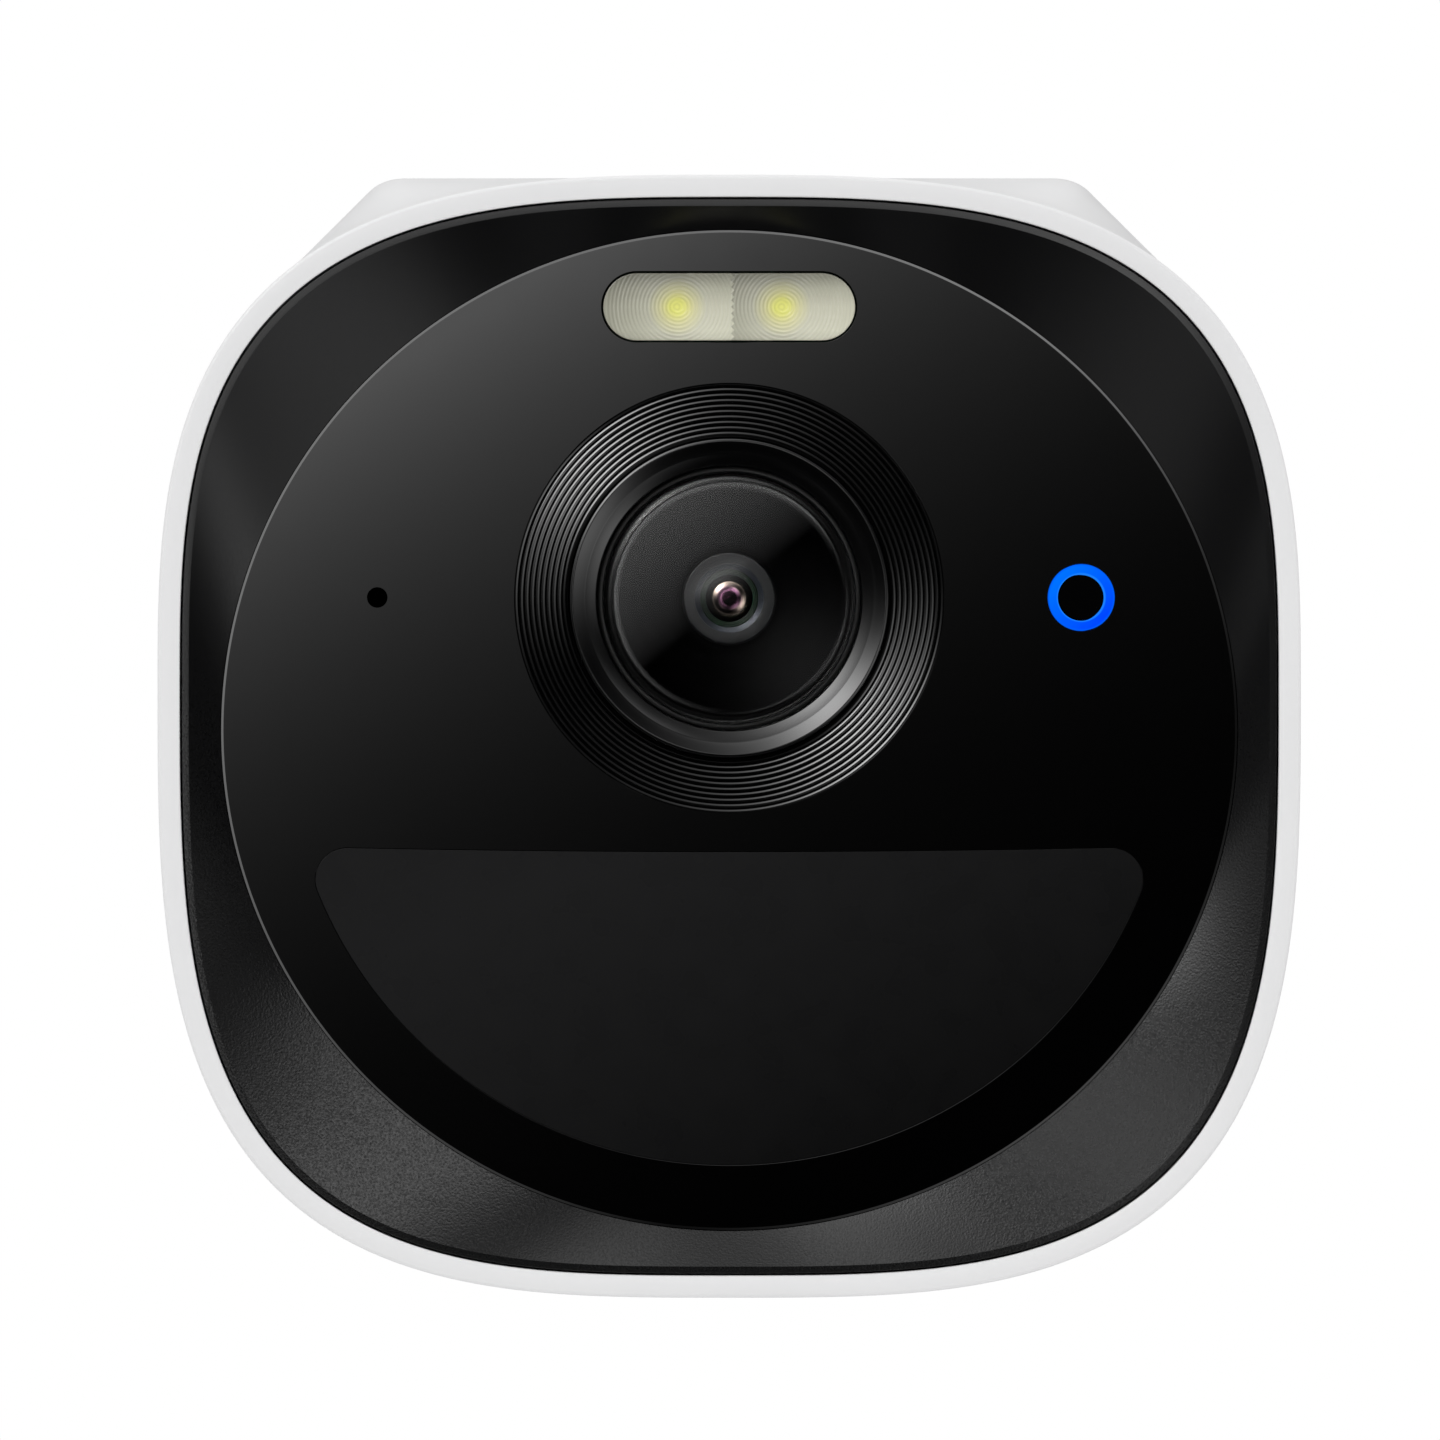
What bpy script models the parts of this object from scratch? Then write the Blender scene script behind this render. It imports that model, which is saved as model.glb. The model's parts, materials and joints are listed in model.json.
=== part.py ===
"""Battery-powered outdoor security camera with a two-LED spotlight and a solar panel in its top.

World frame: +Z up, the camera looks along -Y, and the origin is the mouth of the tripod thread
in the middle of the rear face.

Pieces are modelled in the camera's own frame, which the "camera_frame" empty turns into the world
frame: x is sideways, the second coordinate is "up" and the third is "forward", from the rear
mounting face towards the subject. So a world point is (x, -forward, up).
"""

import math

import bmesh
import bpy
from mathutils import Vector

MM = 0.001

# ---- driving dimensions ------------------------------------------------------------------------
LENGTH = 118.0 * MM  # rear mounting face to front rim
HALF_WIDTH = 31.0 * MM
HALF_TOP = 27.7 * MM  # crown above the widest line
HALF_BOTTOM = 33.2 * MM  # belly below the widest line
TOP_POWER = 3.0  # superellipse powers of the upper and lower halves
BOTTOM_POWER = 3.24
WIDEST_UP = 2.85 * MM  # height of the widest line above the thread's axis

DECK_UP = 30.55 * MM  # flat top that carries the solar panel
DECK_START = 116.5 * MM  # the deck grows out of the round front between these two
DECK_FULL = 103.0 * MM

GAP = 0.3 * MM  # between pieces that touch or nearly touch
WALL = 2.0 * MM
LIP_WALL = 1.2 * MM  # visible rim round the black front
ROOF_UP = 26.4 * MM  # flat ceiling of the inside, under the solar pocket
LIP_BACK = 103.5 * MM
HOUSING_REAR = 12.0 * MM
REAR_FACE = 0.8 * MM
REAR_FILLET = 4.0 * MM
REAR_WALL_INSIDE = 3.0 * MM

DISC_HALF = 27.55 * MM  # the face is a slightly wide ellipse: half width and half height
DISC_HALF_UP = 27.1 * MM
DISC_UP = 0.43 * MM
DISC_FRONT = 116.4 * MM
DISC_BACK = 113.5 * MM
LENS_UP = 7.6 * MM
GROOVE_OUTER = 11.6 * MM
GROOVE_INNER = 8.6 * MM
GLASS_RADIUS = 6.8 * MM
BARREL_RADIUS = 6.0 * MM
APERTURE_RADIUS = 2.2 * MM
SPOT_UP = 23.4 * MM
SPOT_HALF = 6.84 * MM
SPOT_RADIUS = 1.83 * MM
SPOT_LED_X = 2.84 * MM
SIDE_X = 19.1 * MM  # microphone hole at -x, status light at +x
SIDE_UP = 7.63 * MM
MIC_HOLE = 0.5 * MM
STATUS_OUTER = 1.8 * MM
STATUS_INNER = 1.27 * MM
WINDOW_MARGIN = 3.6 * MM  # the half-moon motion window's edge lies this far inside the face's
WINDOW_TOP = -5.95 * MM
WINDOW_CORNER = 1.7 * MM
WINDOW_SAG = 0.25 * MM

CELL_RADIUS = 9.2 * MM
CELL_LENGTH = 65.0 * MM
CELL_REAR = 26.7 * MM
CELL_PITCH = 18.9 * MM
CELLS_UP = 2.0 * MM
POST_X = 22.6 * MM
POST_UPS = (14.0 * MM, -12.0 * MM)
POST_RADIUS = 2.3 * MM

SOLAR_HALF = 17.0 * MM
SOLAR_REAR = 18.3 * MM
SOLAR_FRONT = 99.7 * MM
SOLAR_TOP = 30.35 * MM
SOLAR_THICK = 1.7 * MM

SPEAKER_FORWARD = 70.0 * MM
SPEAKER_RADIUS = 12.5 * MM
SPEAKER_FACE_UP = -27.2 * MM
GRILLE_PITCH = 2.2 * MM
GRILLE_HOLE = 0.6 * MM

PORT_UP = -15.0 * MM
PORT_HALF = (8.5 * MM, 5.0 * MM)  # rubber cover, half width and half height
PORT_CORNER = 2.0 * MM
BUTTON_UP = 16.0 * MM
BUTTON_RADIUS = 3.0 * MM
THREAD_RADIUS = 3.2 * MM  # 1/4 inch tripod thread, major radius
THREAD_DEPTH = 7.5 * MM

COLUMNS_LOW = 30  # points of the lower half of the body outline
SEGMENTS = 32  # sides of a large round piece
SMALL_SEGMENTS = 20
FEW_SEGMENTS = 12

# ---- materials: colour, roughness, metallic ----------------------------------------------------
FINISHES = {
    "white_shell": ((0.86, 0.86, 0.87), 0.45, 0.0),
    "white_rubber": ((0.78, 0.78, 0.79), 0.7, 0.0),
    "black_satin": ((0.03, 0.03, 0.032), 0.5, 0.0),
    "black_gloss": ((0.008, 0.008, 0.009), 0.08, 0.0),
    "black_rubber": ((0.02, 0.02, 0.02), 0.8, 0.0),
    "clear_glass": ((0.9, 0.92, 0.92), 0.03, 0.0),
    "dark_window": ((0.02, 0.02, 0.022), 0.35, 0.0),
    "spot_lens": ((0.8, 0.82, 0.7), 0.2, 0.0),
    "led_yellow": ((0.9, 0.85, 0.2), 0.4, 0.0),
    "status_blue": ((0.0, 0.12, 1.0), 0.3, 0.0),
    "board_green": ((0.02, 0.16, 0.07), 0.45, 0.0),
    "steel": ((0.6, 0.6, 0.61), 0.3, 1.0),
    "brass": ((0.75, 0.6, 0.3), 0.3, 1.0),
    "cell_wrap": ((0.1, 0.3, 0.6), 0.4, 0.0),
    "inner_plastic": ((0.08, 0.08, 0.085), 0.6, 0.0),
    "solar_cells": ((0.01, 0.012, 0.03), 0.12, 0.0),
    "chip_black": ((0.02, 0.02, 0.02), 0.5, 0.0),
    "flex_amber": ((0.45, 0.2, 0.03), 0.4, 0.0),
    "filter_glass": ((0.3, 0.6, 0.65), 0.05, 0.0),
}


def finish(name):
    """The named material, made at its first use."""
    found = bpy.data.materials.get(name)
    if found:
        return found
    colour, roughness, metallic = FINISHES[name]
    made = bpy.data.materials.new(name)
    made.use_nodes = True
    shader = made.node_tree.nodes["Principled BSDF"]
    shader.inputs["Base Color"].default_value = (*colour, 1.0)
    shader.inputs["Roughness"].default_value = roughness
    shader.inputs["Metallic"].default_value = metallic
    return made


# ---- mesh helpers ------------------------------------------------------------------------------
def clear_scene():
    for obj in list(bpy.data.objects):
        bpy.data.objects.remove(obj)


def add_frame():
    """The empty that turns (x, up, forward) into the world's (x, -forward, up)."""
    frame = bpy.data.objects.new("camera_frame", None)
    frame.rotation_euler = (math.radians(90), 0, 0)
    bpy.context.scene.collection.objects.link(frame)
    return frame


def solid(name, material, points, faces, at=(0, 0, 0), turn=(0, 0, 0)):
    """A closed mesh object in the camera's frame, with its normals facing out."""
    mesh = bpy.data.meshes.new(name)
    mesh.from_pydata([tuple(p) for p in points], [], faces)
    work = bmesh.new()
    work.from_mesh(mesh)
    bmesh.ops.recalc_face_normals(work, faces=work.faces)
    work.to_mesh(mesh)
    work.free()
    mesh.shade_smooth()
    mesh.set_sharp_from_angle(angle=math.radians(30))
    obj = bpy.data.objects.new(name, mesh)
    bpy.context.scene.collection.objects.link(obj)
    obj.parent = bpy.data.objects["camera_frame"]
    obj.location = at
    obj.rotation_euler = turn
    if material:
        mesh.materials.append(finish(material))
    else:
        obj.hide_render = True
        obj.display_type = "WIRE"
    return obj


def loft(name, material, loops, capped, **place):
    """Skins between loops of equally many points. Uncapped, the last loop joins the first."""
    count = len(loops[0])
    points = [p for loop in loops for p in loop]
    pairs = list(zip(range(len(loops) - 1), range(1, len(loops))))
    if not capped:
        pairs.append((len(loops) - 1, 0))
    faces = []
    for a, b in pairs:
        for i in range(count):
            j = (i + 1) % count
            faces.append((a * count + i, a * count + j, b * count + j, b * count + i))
    if capped:
        faces.append(tuple(range(count)))
        last = (len(loops) - 1) * count
        faces.append(tuple(last + i for i in range(count)))
    return solid(name, material, points, faces, **place)


def extruded(name, material, outline, back, front, **place):
    """A plate: a closed (x, up) outline from back to front, both forward distances."""
    loops = [[(x, up, depth) for x, up in outline] for depth in (back, front)]
    return loft(name, material, loops, capped=True, **place)


def turned(name, material, profile, segments=SEGMENTS, **place):
    """A round piece about its own z: profile holds (radius, height) points.

    A profile that starts and ends on the axis is capped there, and any other one is closed.
    """
    on_axis = profile[0][0] == 0
    rim = profile[1:-1] if on_axis else profile
    loops = [circle(radius, segments, height) for radius, height in rim]
    if not on_axis:
        return loft(name, material, loops, capped=False, **place)
    return loft(name, material, loops, capped=True, **place)


def round_angles(count):
    """Evenly spread directions that lie symmetrically about both axes."""
    return [math.tau * (i + 0.5) / count for i in range(count)]


def ellipse(half_x, half_up, angles, height=0.0, centre=(0, 0)):
    """Points of an ellipse in these directions, at this height."""
    x, up = centre
    return [(x + half_x * math.cos(a), up + half_up * math.sin(a), height) for a in angles]


def circle(radius, segments, height=0.0, centre=(0, 0)):
    return ellipse(radius, radius, round_angles(segments), height, centre)


def cylinder(name, material, radius, back, front, centre=(0, 0), segments=SMALL_SEGMENTS):
    loops = [circle(radius, segments, depth, centre) for depth in (back, front)]
    return loft(name, material, loops, capped=True)


def ring(name, material, outer, inner, back, front, centre=(0, 0), segments=SEGMENTS):
    profile = [(outer, back), (outer, front), (inner, front), (inner, back)]
    return turned(name, material, profile, segments, at=(*centre, 0))


def box(name, material, low, high):
    """A box between two (x, up, forward) corners."""
    outline = rectangle(low[0], high[0], low[1], high[1])
    return extruded(name, material, outline, low[2], high[2])


def rectangle(left, right, bottom, top):
    return [(left, bottom), (right, bottom), (right, top), (left, top)]


def rounded_rectangle(half_x, half_up, corner, centre=(0, 0), steps=5):
    """Outline of a rectangle with round corners."""
    points = []
    for quarter, (sx, sy) in enumerate(((1, 1), (-1, 1), (-1, -1), (1, -1))):
        for i in range(steps):
            a = math.pi / 2 * (quarter + i / (steps - 1))
            x = sx * (half_x - corner) + corner * math.cos(a)
            up = sy * (half_up - corner) + corner * math.sin(a)
            points.append((centre[0] + x, centre[1] + up))
    return points


def pill(grow=0.0):
    """Outline of the spotlight window, made larger all round by grow."""
    radius = SPOT_RADIUS + grow
    return rounded_rectangle(SPOT_HALF + grow, radius, radius, (0, SPOT_UP), steps=9)


def half_moon(grow=0.0, arc_steps=20, corner_steps=4, top_steps=6):
    """Outline of the motion window: the face's own curve, two round corners, a sagging top.

    It is worked out on a circle and then widened into the face's ellipse.
    """
    radius = DISC_HALF_UP - WINDOW_MARGIN + grow
    widen = (DISC_HALF - WINDOW_MARGIN + grow) / radius
    corner = WINDOW_CORNER + grow
    top = WINDOW_TOP + grow - DISC_UP
    corner_up = top - corner
    corner_x = math.sqrt((radius - corner) ** 2 - corner_up**2)
    side = math.atan2(corner_up, corner_x)  # direction where the arc meets the corner
    right_corner = [
        (corner_x + corner * math.cos(a), corner_up + corner * math.sin(a))
        for a in spaced(math.pi / 2, side, corner_steps)
    ]
    left_corner = [(-x, up) for x, up in reversed(right_corner)]
    arc = [
        (radius * math.cos(a), radius * math.sin(a))
        for a in spaced(side, -math.pi - side, arc_steps) + [-math.pi - side]
    ]
    across = [t / top_steps for t in range(-top_steps + 2, top_steps, 2)]
    upper = [(corner_x * t, top - WINDOW_SAG * (1 - t * t)) for t in across]
    return [(x * widen, up + DISC_UP) for x, up in right_corner + arc + left_corner + upper]


def boolean(target, tool, operation):
    modifier = target.modifiers.new(operation.lower() + "_" + tool.name, "BOOLEAN")
    modifier.operation = operation
    modifier.solver = "EXACT"
    modifier.object = tool


def cut(target, *tools):
    for tool in tools:
        boolean(target, tool, "DIFFERENCE")


def join(target, *tools):
    for tool in tools:
        boolean(target, tool, "UNION")


# ---- body outline ------------------------------------------------------------------------------
def spaced(start, end, count):
    return [start + (end - start) * i / count for i in range(count)]


def shoulder_point():
    """Where a 45 degree line touches the round upper outline, from the middle of the widest line.

    Its two coordinates add up to the distance at which that line crosses each axis.
    """
    dual = TOP_POWER / (TOP_POWER - 1)
    reach = (HALF_WIDTH**dual + HALF_TOP**dual) ** (1 / dual)
    return Vector((HALF_WIDTH**dual, HALF_TOP**dual)) / reach ** (dual - 1)


def deck_corner():
    """Where the flank, the 45 degree line through the shoulder point, reaches the deck's top."""
    foot = shoulder_point()
    top = DECK_UP - WIDEST_UP
    return Vector((foot.x + foot.y - top, top))


def outline_angles():
    """Directions of the outline's points, with some on the deck's edges, mirrored left to right."""
    foot, corner = shoulder_point(), deck_corner()
    shoulder, edge = math.atan2(foot.y, foot.x), math.atan2(corner.y, corner.x)
    quarter = spaced(0, shoulder, 8) + spaced(shoulder, edge, 2) + spaced(edge, math.pi / 2, 5)
    top = quarter + [math.pi / 2] + [math.pi - a for a in reversed(quarter[1:])]
    return top + spaced(math.pi, math.tau, COLUMNS_LOW), shoulder


def superellipse_point(angle, inset):
    """Point of the body outline in this direction, moved inwards along its normal."""
    c, s = math.cos(angle), math.sin(angle)
    half_up, power = (HALF_TOP, TOP_POWER) if s >= 0 else (HALF_BOTTOM, BOTTOM_POWER)
    share = (abs(c) / HALF_WIDTH) ** power + (abs(s) / half_up) ** power
    radius = share ** (-1 / power)
    point = Vector((radius * c, radius * s))
    slope_x = math.copysign((abs(point.x) / HALF_WIDTH) ** (power - 1) / HALF_WIDTH, c)
    slope_up = math.copysign((abs(point.y) / half_up) ** (power - 1) / half_up, s)
    return point - inset * Vector((slope_x, slope_up)).normalized()


def deck_point(angle):
    """Point of the deck's flat top or of its flank in this direction."""
    ray = Vector((abs(math.cos(angle)), math.sin(angle)))
    corner = deck_corner()
    reach = min(corner.y / ray.y, (corner.x + corner.y) / (ray.x + ray.y))
    return Vector((math.copysign(ray.x, math.cos(angle)), ray.y)) * reach


def body_outline(forward, inset=0.0, deck=0.0, roof=None, shrink=0.0):
    """The body's cross-section as points at one forward distance.

    deck 1 gives it the flat top, roof cuts it off at a height, and shrink draws it towards its
    middle, as the rear edge's rounding does.
    """
    angles, shoulder = outline_angles()
    points = []
    for angle in angles:
        point = superellipse_point(angle, inset)
        if deck and shoulder < angle < math.pi - shoulder:
            point = point.lerp(deck_point(angle), deck)
        point -= point.normalized() * shrink
        up = point.y + WIDEST_UP
        points.append((point.x, min(up, roof) if roof else up, forward))
    return points


def inner_outline(forward, inset=WALL):
    """The cross-section of the inside, whose ceiling is flat, set in further by inset."""
    return body_outline(forward, inset, roof=ROOF_UP - (inset - WALL))


# ---- shells ------------------------------------------------------------------------------------
def make_housing():
    """White sleeve: round at the front rim, with a flat deck for the solar panel behind it."""
    deck_steps = 4
    edge = 0.4 * MM
    loops = [body_outline(LENGTH, inset=edge), body_outline(LENGTH - edge)]
    for i in range(deck_steps + 1):
        t = i / deck_steps
        forward = DECK_START + (DECK_FULL - DECK_START) * t
        loops.append(body_outline(forward, deck=t * t * (3 - 2 * t)))
    loops += [
        body_outline(HOUSING_REAR, deck=1),
        inner_outline(HOUSING_REAR),
        inner_outline(LIP_BACK),
        body_outline(LIP_BACK, LIP_WALL),
        body_outline(LENGTH, LIP_WALL),
    ]
    housing = loft("housing", "white_shell", loops, capped=False)
    cut(housing, solar_pocket(), solar_wire_hole(), speaker_grille_cutter())
    return housing


def solar_pocket():
    depth_clear = 0.4 * MM
    low = (-SOLAR_HALF - GAP, SOLAR_TOP - SOLAR_THICK - depth_clear, SOLAR_REAR - GAP)
    high = (SOLAR_HALF + GAP, DECK_UP + 2 * MM, SOLAR_FRONT + GAP)
    return box("solar_pocket_cutter", None, low, high)


def solar_wire_hole():
    """Upright hole under the panel for its wires."""
    radius = 1.5 * MM
    low = (-radius, ROOF_UP - 2 * MM, 58 * MM)
    high = (radius, SOLAR_TOP, 58 * MM + 2 * radius)
    return box("solar_wire_cutter", None, low, high)


def speaker_grille_cutter():
    """Nineteen upright pins in a hexagonal pattern, under the speaker, as one cutter."""
    points, faces = [], []
    sides = 8
    for x, forward in hexagon_pattern(rings=2, pitch=GRILLE_PITCH):
        start = len(points)
        for up in (-34 * MM, -26.5 * MM):
            for i in range(sides):
                a = math.tau * (i + 0.5) / sides
                dx, df = GRILLE_HOLE * math.cos(a), GRILLE_HOLE * math.sin(a)
                points.append((x + dx, up, SPEAKER_FORWARD + forward + df))
        for i in range(sides):
            j = (i + 1) % sides
            faces.append((start + i, start + j, start + sides + j, start + sides + i))
        faces.append(tuple(start + i for i in range(sides)))
        faces.append(tuple(start + sides + i for i in range(sides)))
    return solid("speaker_grille_cutter", None, points, faces)


def hexagon_pattern(rings, pitch):
    """Centres of a hexagonal hole pattern with this many rings round its middle hole."""
    centres = []
    for row in range(-rings, rings + 1):
        across = 2 * rings + 1 - abs(row)
        for i in range(across):
            centres.append(((i - (across - 1) / 2) * pitch, row * pitch * math.sqrt(3) / 2))
    return centres


def make_rear_cover():
    """White end cap with a round edge, a spigot into the housing, bosses and the port's pocket."""
    steps = 3
    loops = []
    for i in range(steps + 1):
        a = math.pi / 2 * (1 - i / steps)
        shrink = REAR_FILLET * (1 - math.cos(a))
        forward = REAR_FACE + REAR_FILLET * (1 - math.sin(a))
        loops.append(body_outline(forward, deck=1, shrink=shrink))
    spigot_outer, spigot_inner = 3.3 * MM, 4.6 * MM
    seam = HOUSING_REAR - GAP
    loops += [
        body_outline(seam, deck=1),
        inner_outline(seam, spigot_outer),
        inner_outline(16 * MM, spigot_outer),
        inner_outline(16 * MM, spigot_inner),
        inner_outline(REAR_WALL_INSIDE, spigot_inner),
    ]
    cover = loft("rear_cover", "white_shell", loops, capped=True)
    wall = REAR_WALL_INSIDE - 0.2 * MM  # bosses bite this deep into the wall
    port_wall = 4.8 * MM
    join(
        cover,
        cylinder("thread_boss", None, 9 * MM, 0, 9.5 * MM, segments=SEGMENTS),
        box("port_boss", None, (-10.5 * MM, -21.5 * MM, wall), (10.5 * MM, -8.7 * MM, port_wall)),
    )
    for i, (x, up) in enumerate(post_centres()):
        boss = cylinder(f"screw_boss_{i}", None, 3.1 * MM, wall, 5.2 * MM, (x, up), FEW_SEGMENTS)
        bore = cylinder(f"screw_bore_{i}", None, 1.6 * MM, -1 * MM, 6 * MM, (x, up), FEW_SEGMENTS)
        sink = cylinder(f"screw_sink_{i}", None, 2.6 * MM, -1 * MM, 2.6 * MM, (x, up), FEW_SEGMENTS)
        join(cover, boss)
        cut(cover, bore, sink)
    pocket = rounded_rectangle(
        PORT_HALF[0] + GAP, PORT_HALF[1] + GAP, PORT_CORNER + GAP, (0, PORT_UP)
    )
    mouth = rounded_rectangle(4.8 * MM, 1.9 * MM, 1.5 * MM, (0, PORT_UP))
    cut(
        cover,
        cylinder("thread_bore", None, 5.1 * MM, -1 * MM, 8.8 * MM),
        extruded("port_pocket", None, pocket, -1 * MM, 3.2 * MM),
        extruded("port_mouth", None, mouth, 0, 6 * MM),
        cylinder("button_bore", None, BUTTON_RADIUS + GAP, -1 * MM, 4 * MM, (0, BUTTON_UP)),
    )
    return cover


def post_centres():
    return [(x, up) for up in POST_UPS for x in (-POST_X, POST_X)]


def make_seals():
    """Rubber rings that keep water out behind the front bezel and round the rear spigot."""
    front, back = 104.9 * MM, 103.8 * MM
    loops = [
        body_outline(back, 1.5 * MM),
        body_outline(front, 1.5 * MM),
        body_outline(front, 3.0 * MM),
        body_outline(back, 3.0 * MM),
    ]
    loft("front_seal", "black_rubber", loops, capped=False)
    front, back = 15.4 * MM, 12.6 * MM
    loops = [
        inner_outline(back, WALL + GAP),
        inner_outline(front, WALL + GAP),
        inner_outline(front, 3.0 * MM),
        inner_outline(back, 3.0 * MM),
    ]
    loft("rear_seal", "black_rubber", loops, capped=False)


# ---- black front -------------------------------------------------------------------------------
def face_outline(grow, forward, angles):
    """The face's elliptical edge, made larger all round by grow."""
    return ellipse(DISC_HALF + grow, DISC_HALF_UP + grow, angles, forward, (0, DISC_UP))


def make_front_bezel():
    """Dished black frame: its outside follows the rim and its middle is a round seat."""
    outside = LIP_WALL + GAP
    skirt_inside = outside + 1.6 * MM
    seat, back, skirt_end = 113.2 * MM, 111.7 * MM, 105.2 * MM
    bore = 12.0 * MM
    angles = outline_angles()[0]
    ridge, face_edge = LENGTH - 0.4 * MM, DISC_FRONT - 0.4 * MM
    loops = [
        body_outline(ridge, outside),
        face_outline(GAP, face_edge, angles),
        face_outline(GAP, seat, angles),
        ellipse(bore, bore, angles, seat, (0, LENS_UP)),
        ellipse(bore, bore, angles, back, (0, LENS_UP)),
        body_outline(back, skirt_inside),
        body_outline(skirt_end, skirt_inside),
        body_outline(skirt_end, outside),
    ]
    bezel = loft("front_bezel", "black_satin", loops, capped=False)
    low, high = 110 * MM, 114 * MM
    cut(
        bezel,
        extruded("bezel_spot_cutter", None, pill(0.6 * MM), low, high),
        extruded("bezel_window_cutter", None, half_moon(-1.2 * MM), low, high),
        cylinder("bezel_mic_cutter", None, 0.8 * MM, low, high, (-SIDE_X, SIDE_UP), FEW_SEGMENTS),
        cylinder("bezel_status_cutter", None, 2.2 * MM, low, high, (SIDE_X, SIDE_UP)),
    )


def make_face_disc():
    """Gloss plate with a chamfered edge and cut-outs for everything that shows through it."""
    chamfer = 0.2 * MM
    angles = round_angles(60)
    loops = [
        face_outline(0, DISC_BACK, angles),
        face_outline(0, DISC_FRONT - chamfer, angles),
        face_outline(-chamfer, DISC_FRONT, angles),
    ]
    disc = loft("face_disc", "black_gloss", loops, capped=True)
    low, high = DISC_BACK - 1 * MM, DISC_FRONT + 1 * MM
    cut(
        disc,
        cylinder("disc_lens_cutter", None, GROOVE_OUTER + GAP, low, high, (0, LENS_UP), 32),
        extruded("disc_spot_cutter", None, pill(GAP), low, high),
        extruded("disc_window_cutter", None, half_moon(GAP), low, high),
        cylinder("disc_mic_cutter", None, MIC_HOLE, low, high, (-SIDE_X, SIDE_UP), FEW_SEGMENTS),
        cylinder("disc_status_cutter", None, STATUS_OUTER + GAP, low, high, (SIDE_X, SIDE_UP)),
    )


def make_lens_rings():
    """Grooved hood ring, raised trim ring, and the cover glass with its gasket and mask."""
    centre = (0, LENS_UP, 0)
    hood = [
        (GROOVE_OUTER, 113.0 * MM),
        (GROOVE_OUTER, DISC_FRONT),
        (GROOVE_INNER, DISC_FRONT - 1.0 * MM),
        (GROOVE_INNER, 113.0 * MM),
    ]
    turned("groove_ring", "black_gloss", hood, at=centre)
    trim_outer, trim_inner = GROOVE_INNER - GAP, GLASS_RADIUS + 0.35 * MM
    trim = [
        (trim_outer, 112.5 * MM),
        (trim_outer, DISC_FRONT - 0.9 * MM),
        (trim_outer - 0.6 * MM, DISC_FRONT - 0.3 * MM),
        (trim_inner, DISC_FRONT - 0.3 * MM),
        (trim_inner, 112.5 * MM),
    ]
    turned("lens_trim_ring", "black_gloss", trim, at=centre)
    edge, crown, rings = DISC_FRONT - 0.7 * MM, 0.8 * MM, 3
    glass = [(0, 113.6 * MM), (GLASS_RADIUS, 113.6 * MM)]
    for i in range(rings):
        share = 1 - i / rings
        glass.append((GLASS_RADIUS * share, edge + crown * (1 - share**2)))
    glass.append((0, edge + crown))
    turned("cover_glass", "clear_glass", glass, at=centre)
    gasket = (GLASS_RADIUS, 5.9 * MM, 112.8 * MM, 113.3 * MM)
    ring("glass_gasket", "black_rubber", *gasket, centre=(0, LENS_UP))
    mask = (5.6 * MM, APERTURE_RADIUS, 112.9 * MM, 113.3 * MM)
    ring("lens_baffle", "black_satin", *mask, centre=(0, LENS_UP))


def make_lens_and_sensor():
    """Lens barrel, its holder, the day and night filter shutter and the image sensor's board."""
    centre = (0, LENS_UP, 0)
    front, rear = 112.5 * MM, 102.6 * MM
    barrel = [
        (BARREL_RADIUS, rear),
        (BARREL_RADIUS, front),
        (APERTURE_RADIUS, front),
        (1.25 * MM, front - 1 * MM),
        (1.25 * MM, 109 * MM),
        (3.0 * MM, 107 * MM),
        (3.0 * MM, rear),
    ]
    turned("lens_barrel", "inner_plastic", barrel, SMALL_SEGMENTS, at=centre)
    element = [(0, 109.4 * MM), (0.95 * MM, 109.4 * MM), (0.95 * MM, 110.9 * MM)]
    element += [(0.55 * MM, 111.15 * MM), (0, 111.2 * MM)]
    turned("front_element", "clear_glass", element, SMALL_SEGMENTS, at=centre)

    side = 8.5 * MM
    low = (-side, LENS_UP - side, 101 * MM)
    high = (side, LENS_UP + side, 108.5 * MM)
    holder = box("lens_holder", "inner_plastic", low, high)
    bore = BARREL_RADIUS + GAP
    cut(holder, cylinder("holder_bore", None, bore, 100 * MM, 110 * MM, (0, LENS_UP)))

    half_x, half_up = 11 * MM, 6.5 * MM
    low = (-half_x, LENS_UP - half_up, 97.2 * MM)
    high = (half_x, LENS_UP + half_up, 100.7 * MM)
    shutter = box("ir_cut_housing", "inner_plastic", low, high)
    slot_low = (-2 * half_x, LENS_UP - 4.3 * MM, 98.3 * MM)
    slot_high = (2 * half_x, LENS_UP + 4.3 * MM, 99.9 * MM)
    cut(
        shutter,
        box("shutter_slot", None, slot_low, slot_high),
        cylinder("shutter_bore", None, 2.6 * MM, 96 * MM, 102 * MM, (0, LENS_UP)),
    )
    make_filter_slider()
    low, high = (-4 * MM, LENS_UP - 3 * MM, 95.9 * MM), (4 * MM, LENS_UP + 3 * MM, 96.8 * MM)
    box("image_sensor", "chip_black", low, high)
    low, high = (-15 * MM, -4.4 * MM, 94.5 * MM), (15 * MM, 19.6 * MM, 95.7 * MM)
    box("camera_board", "board_green", low, high)


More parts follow.
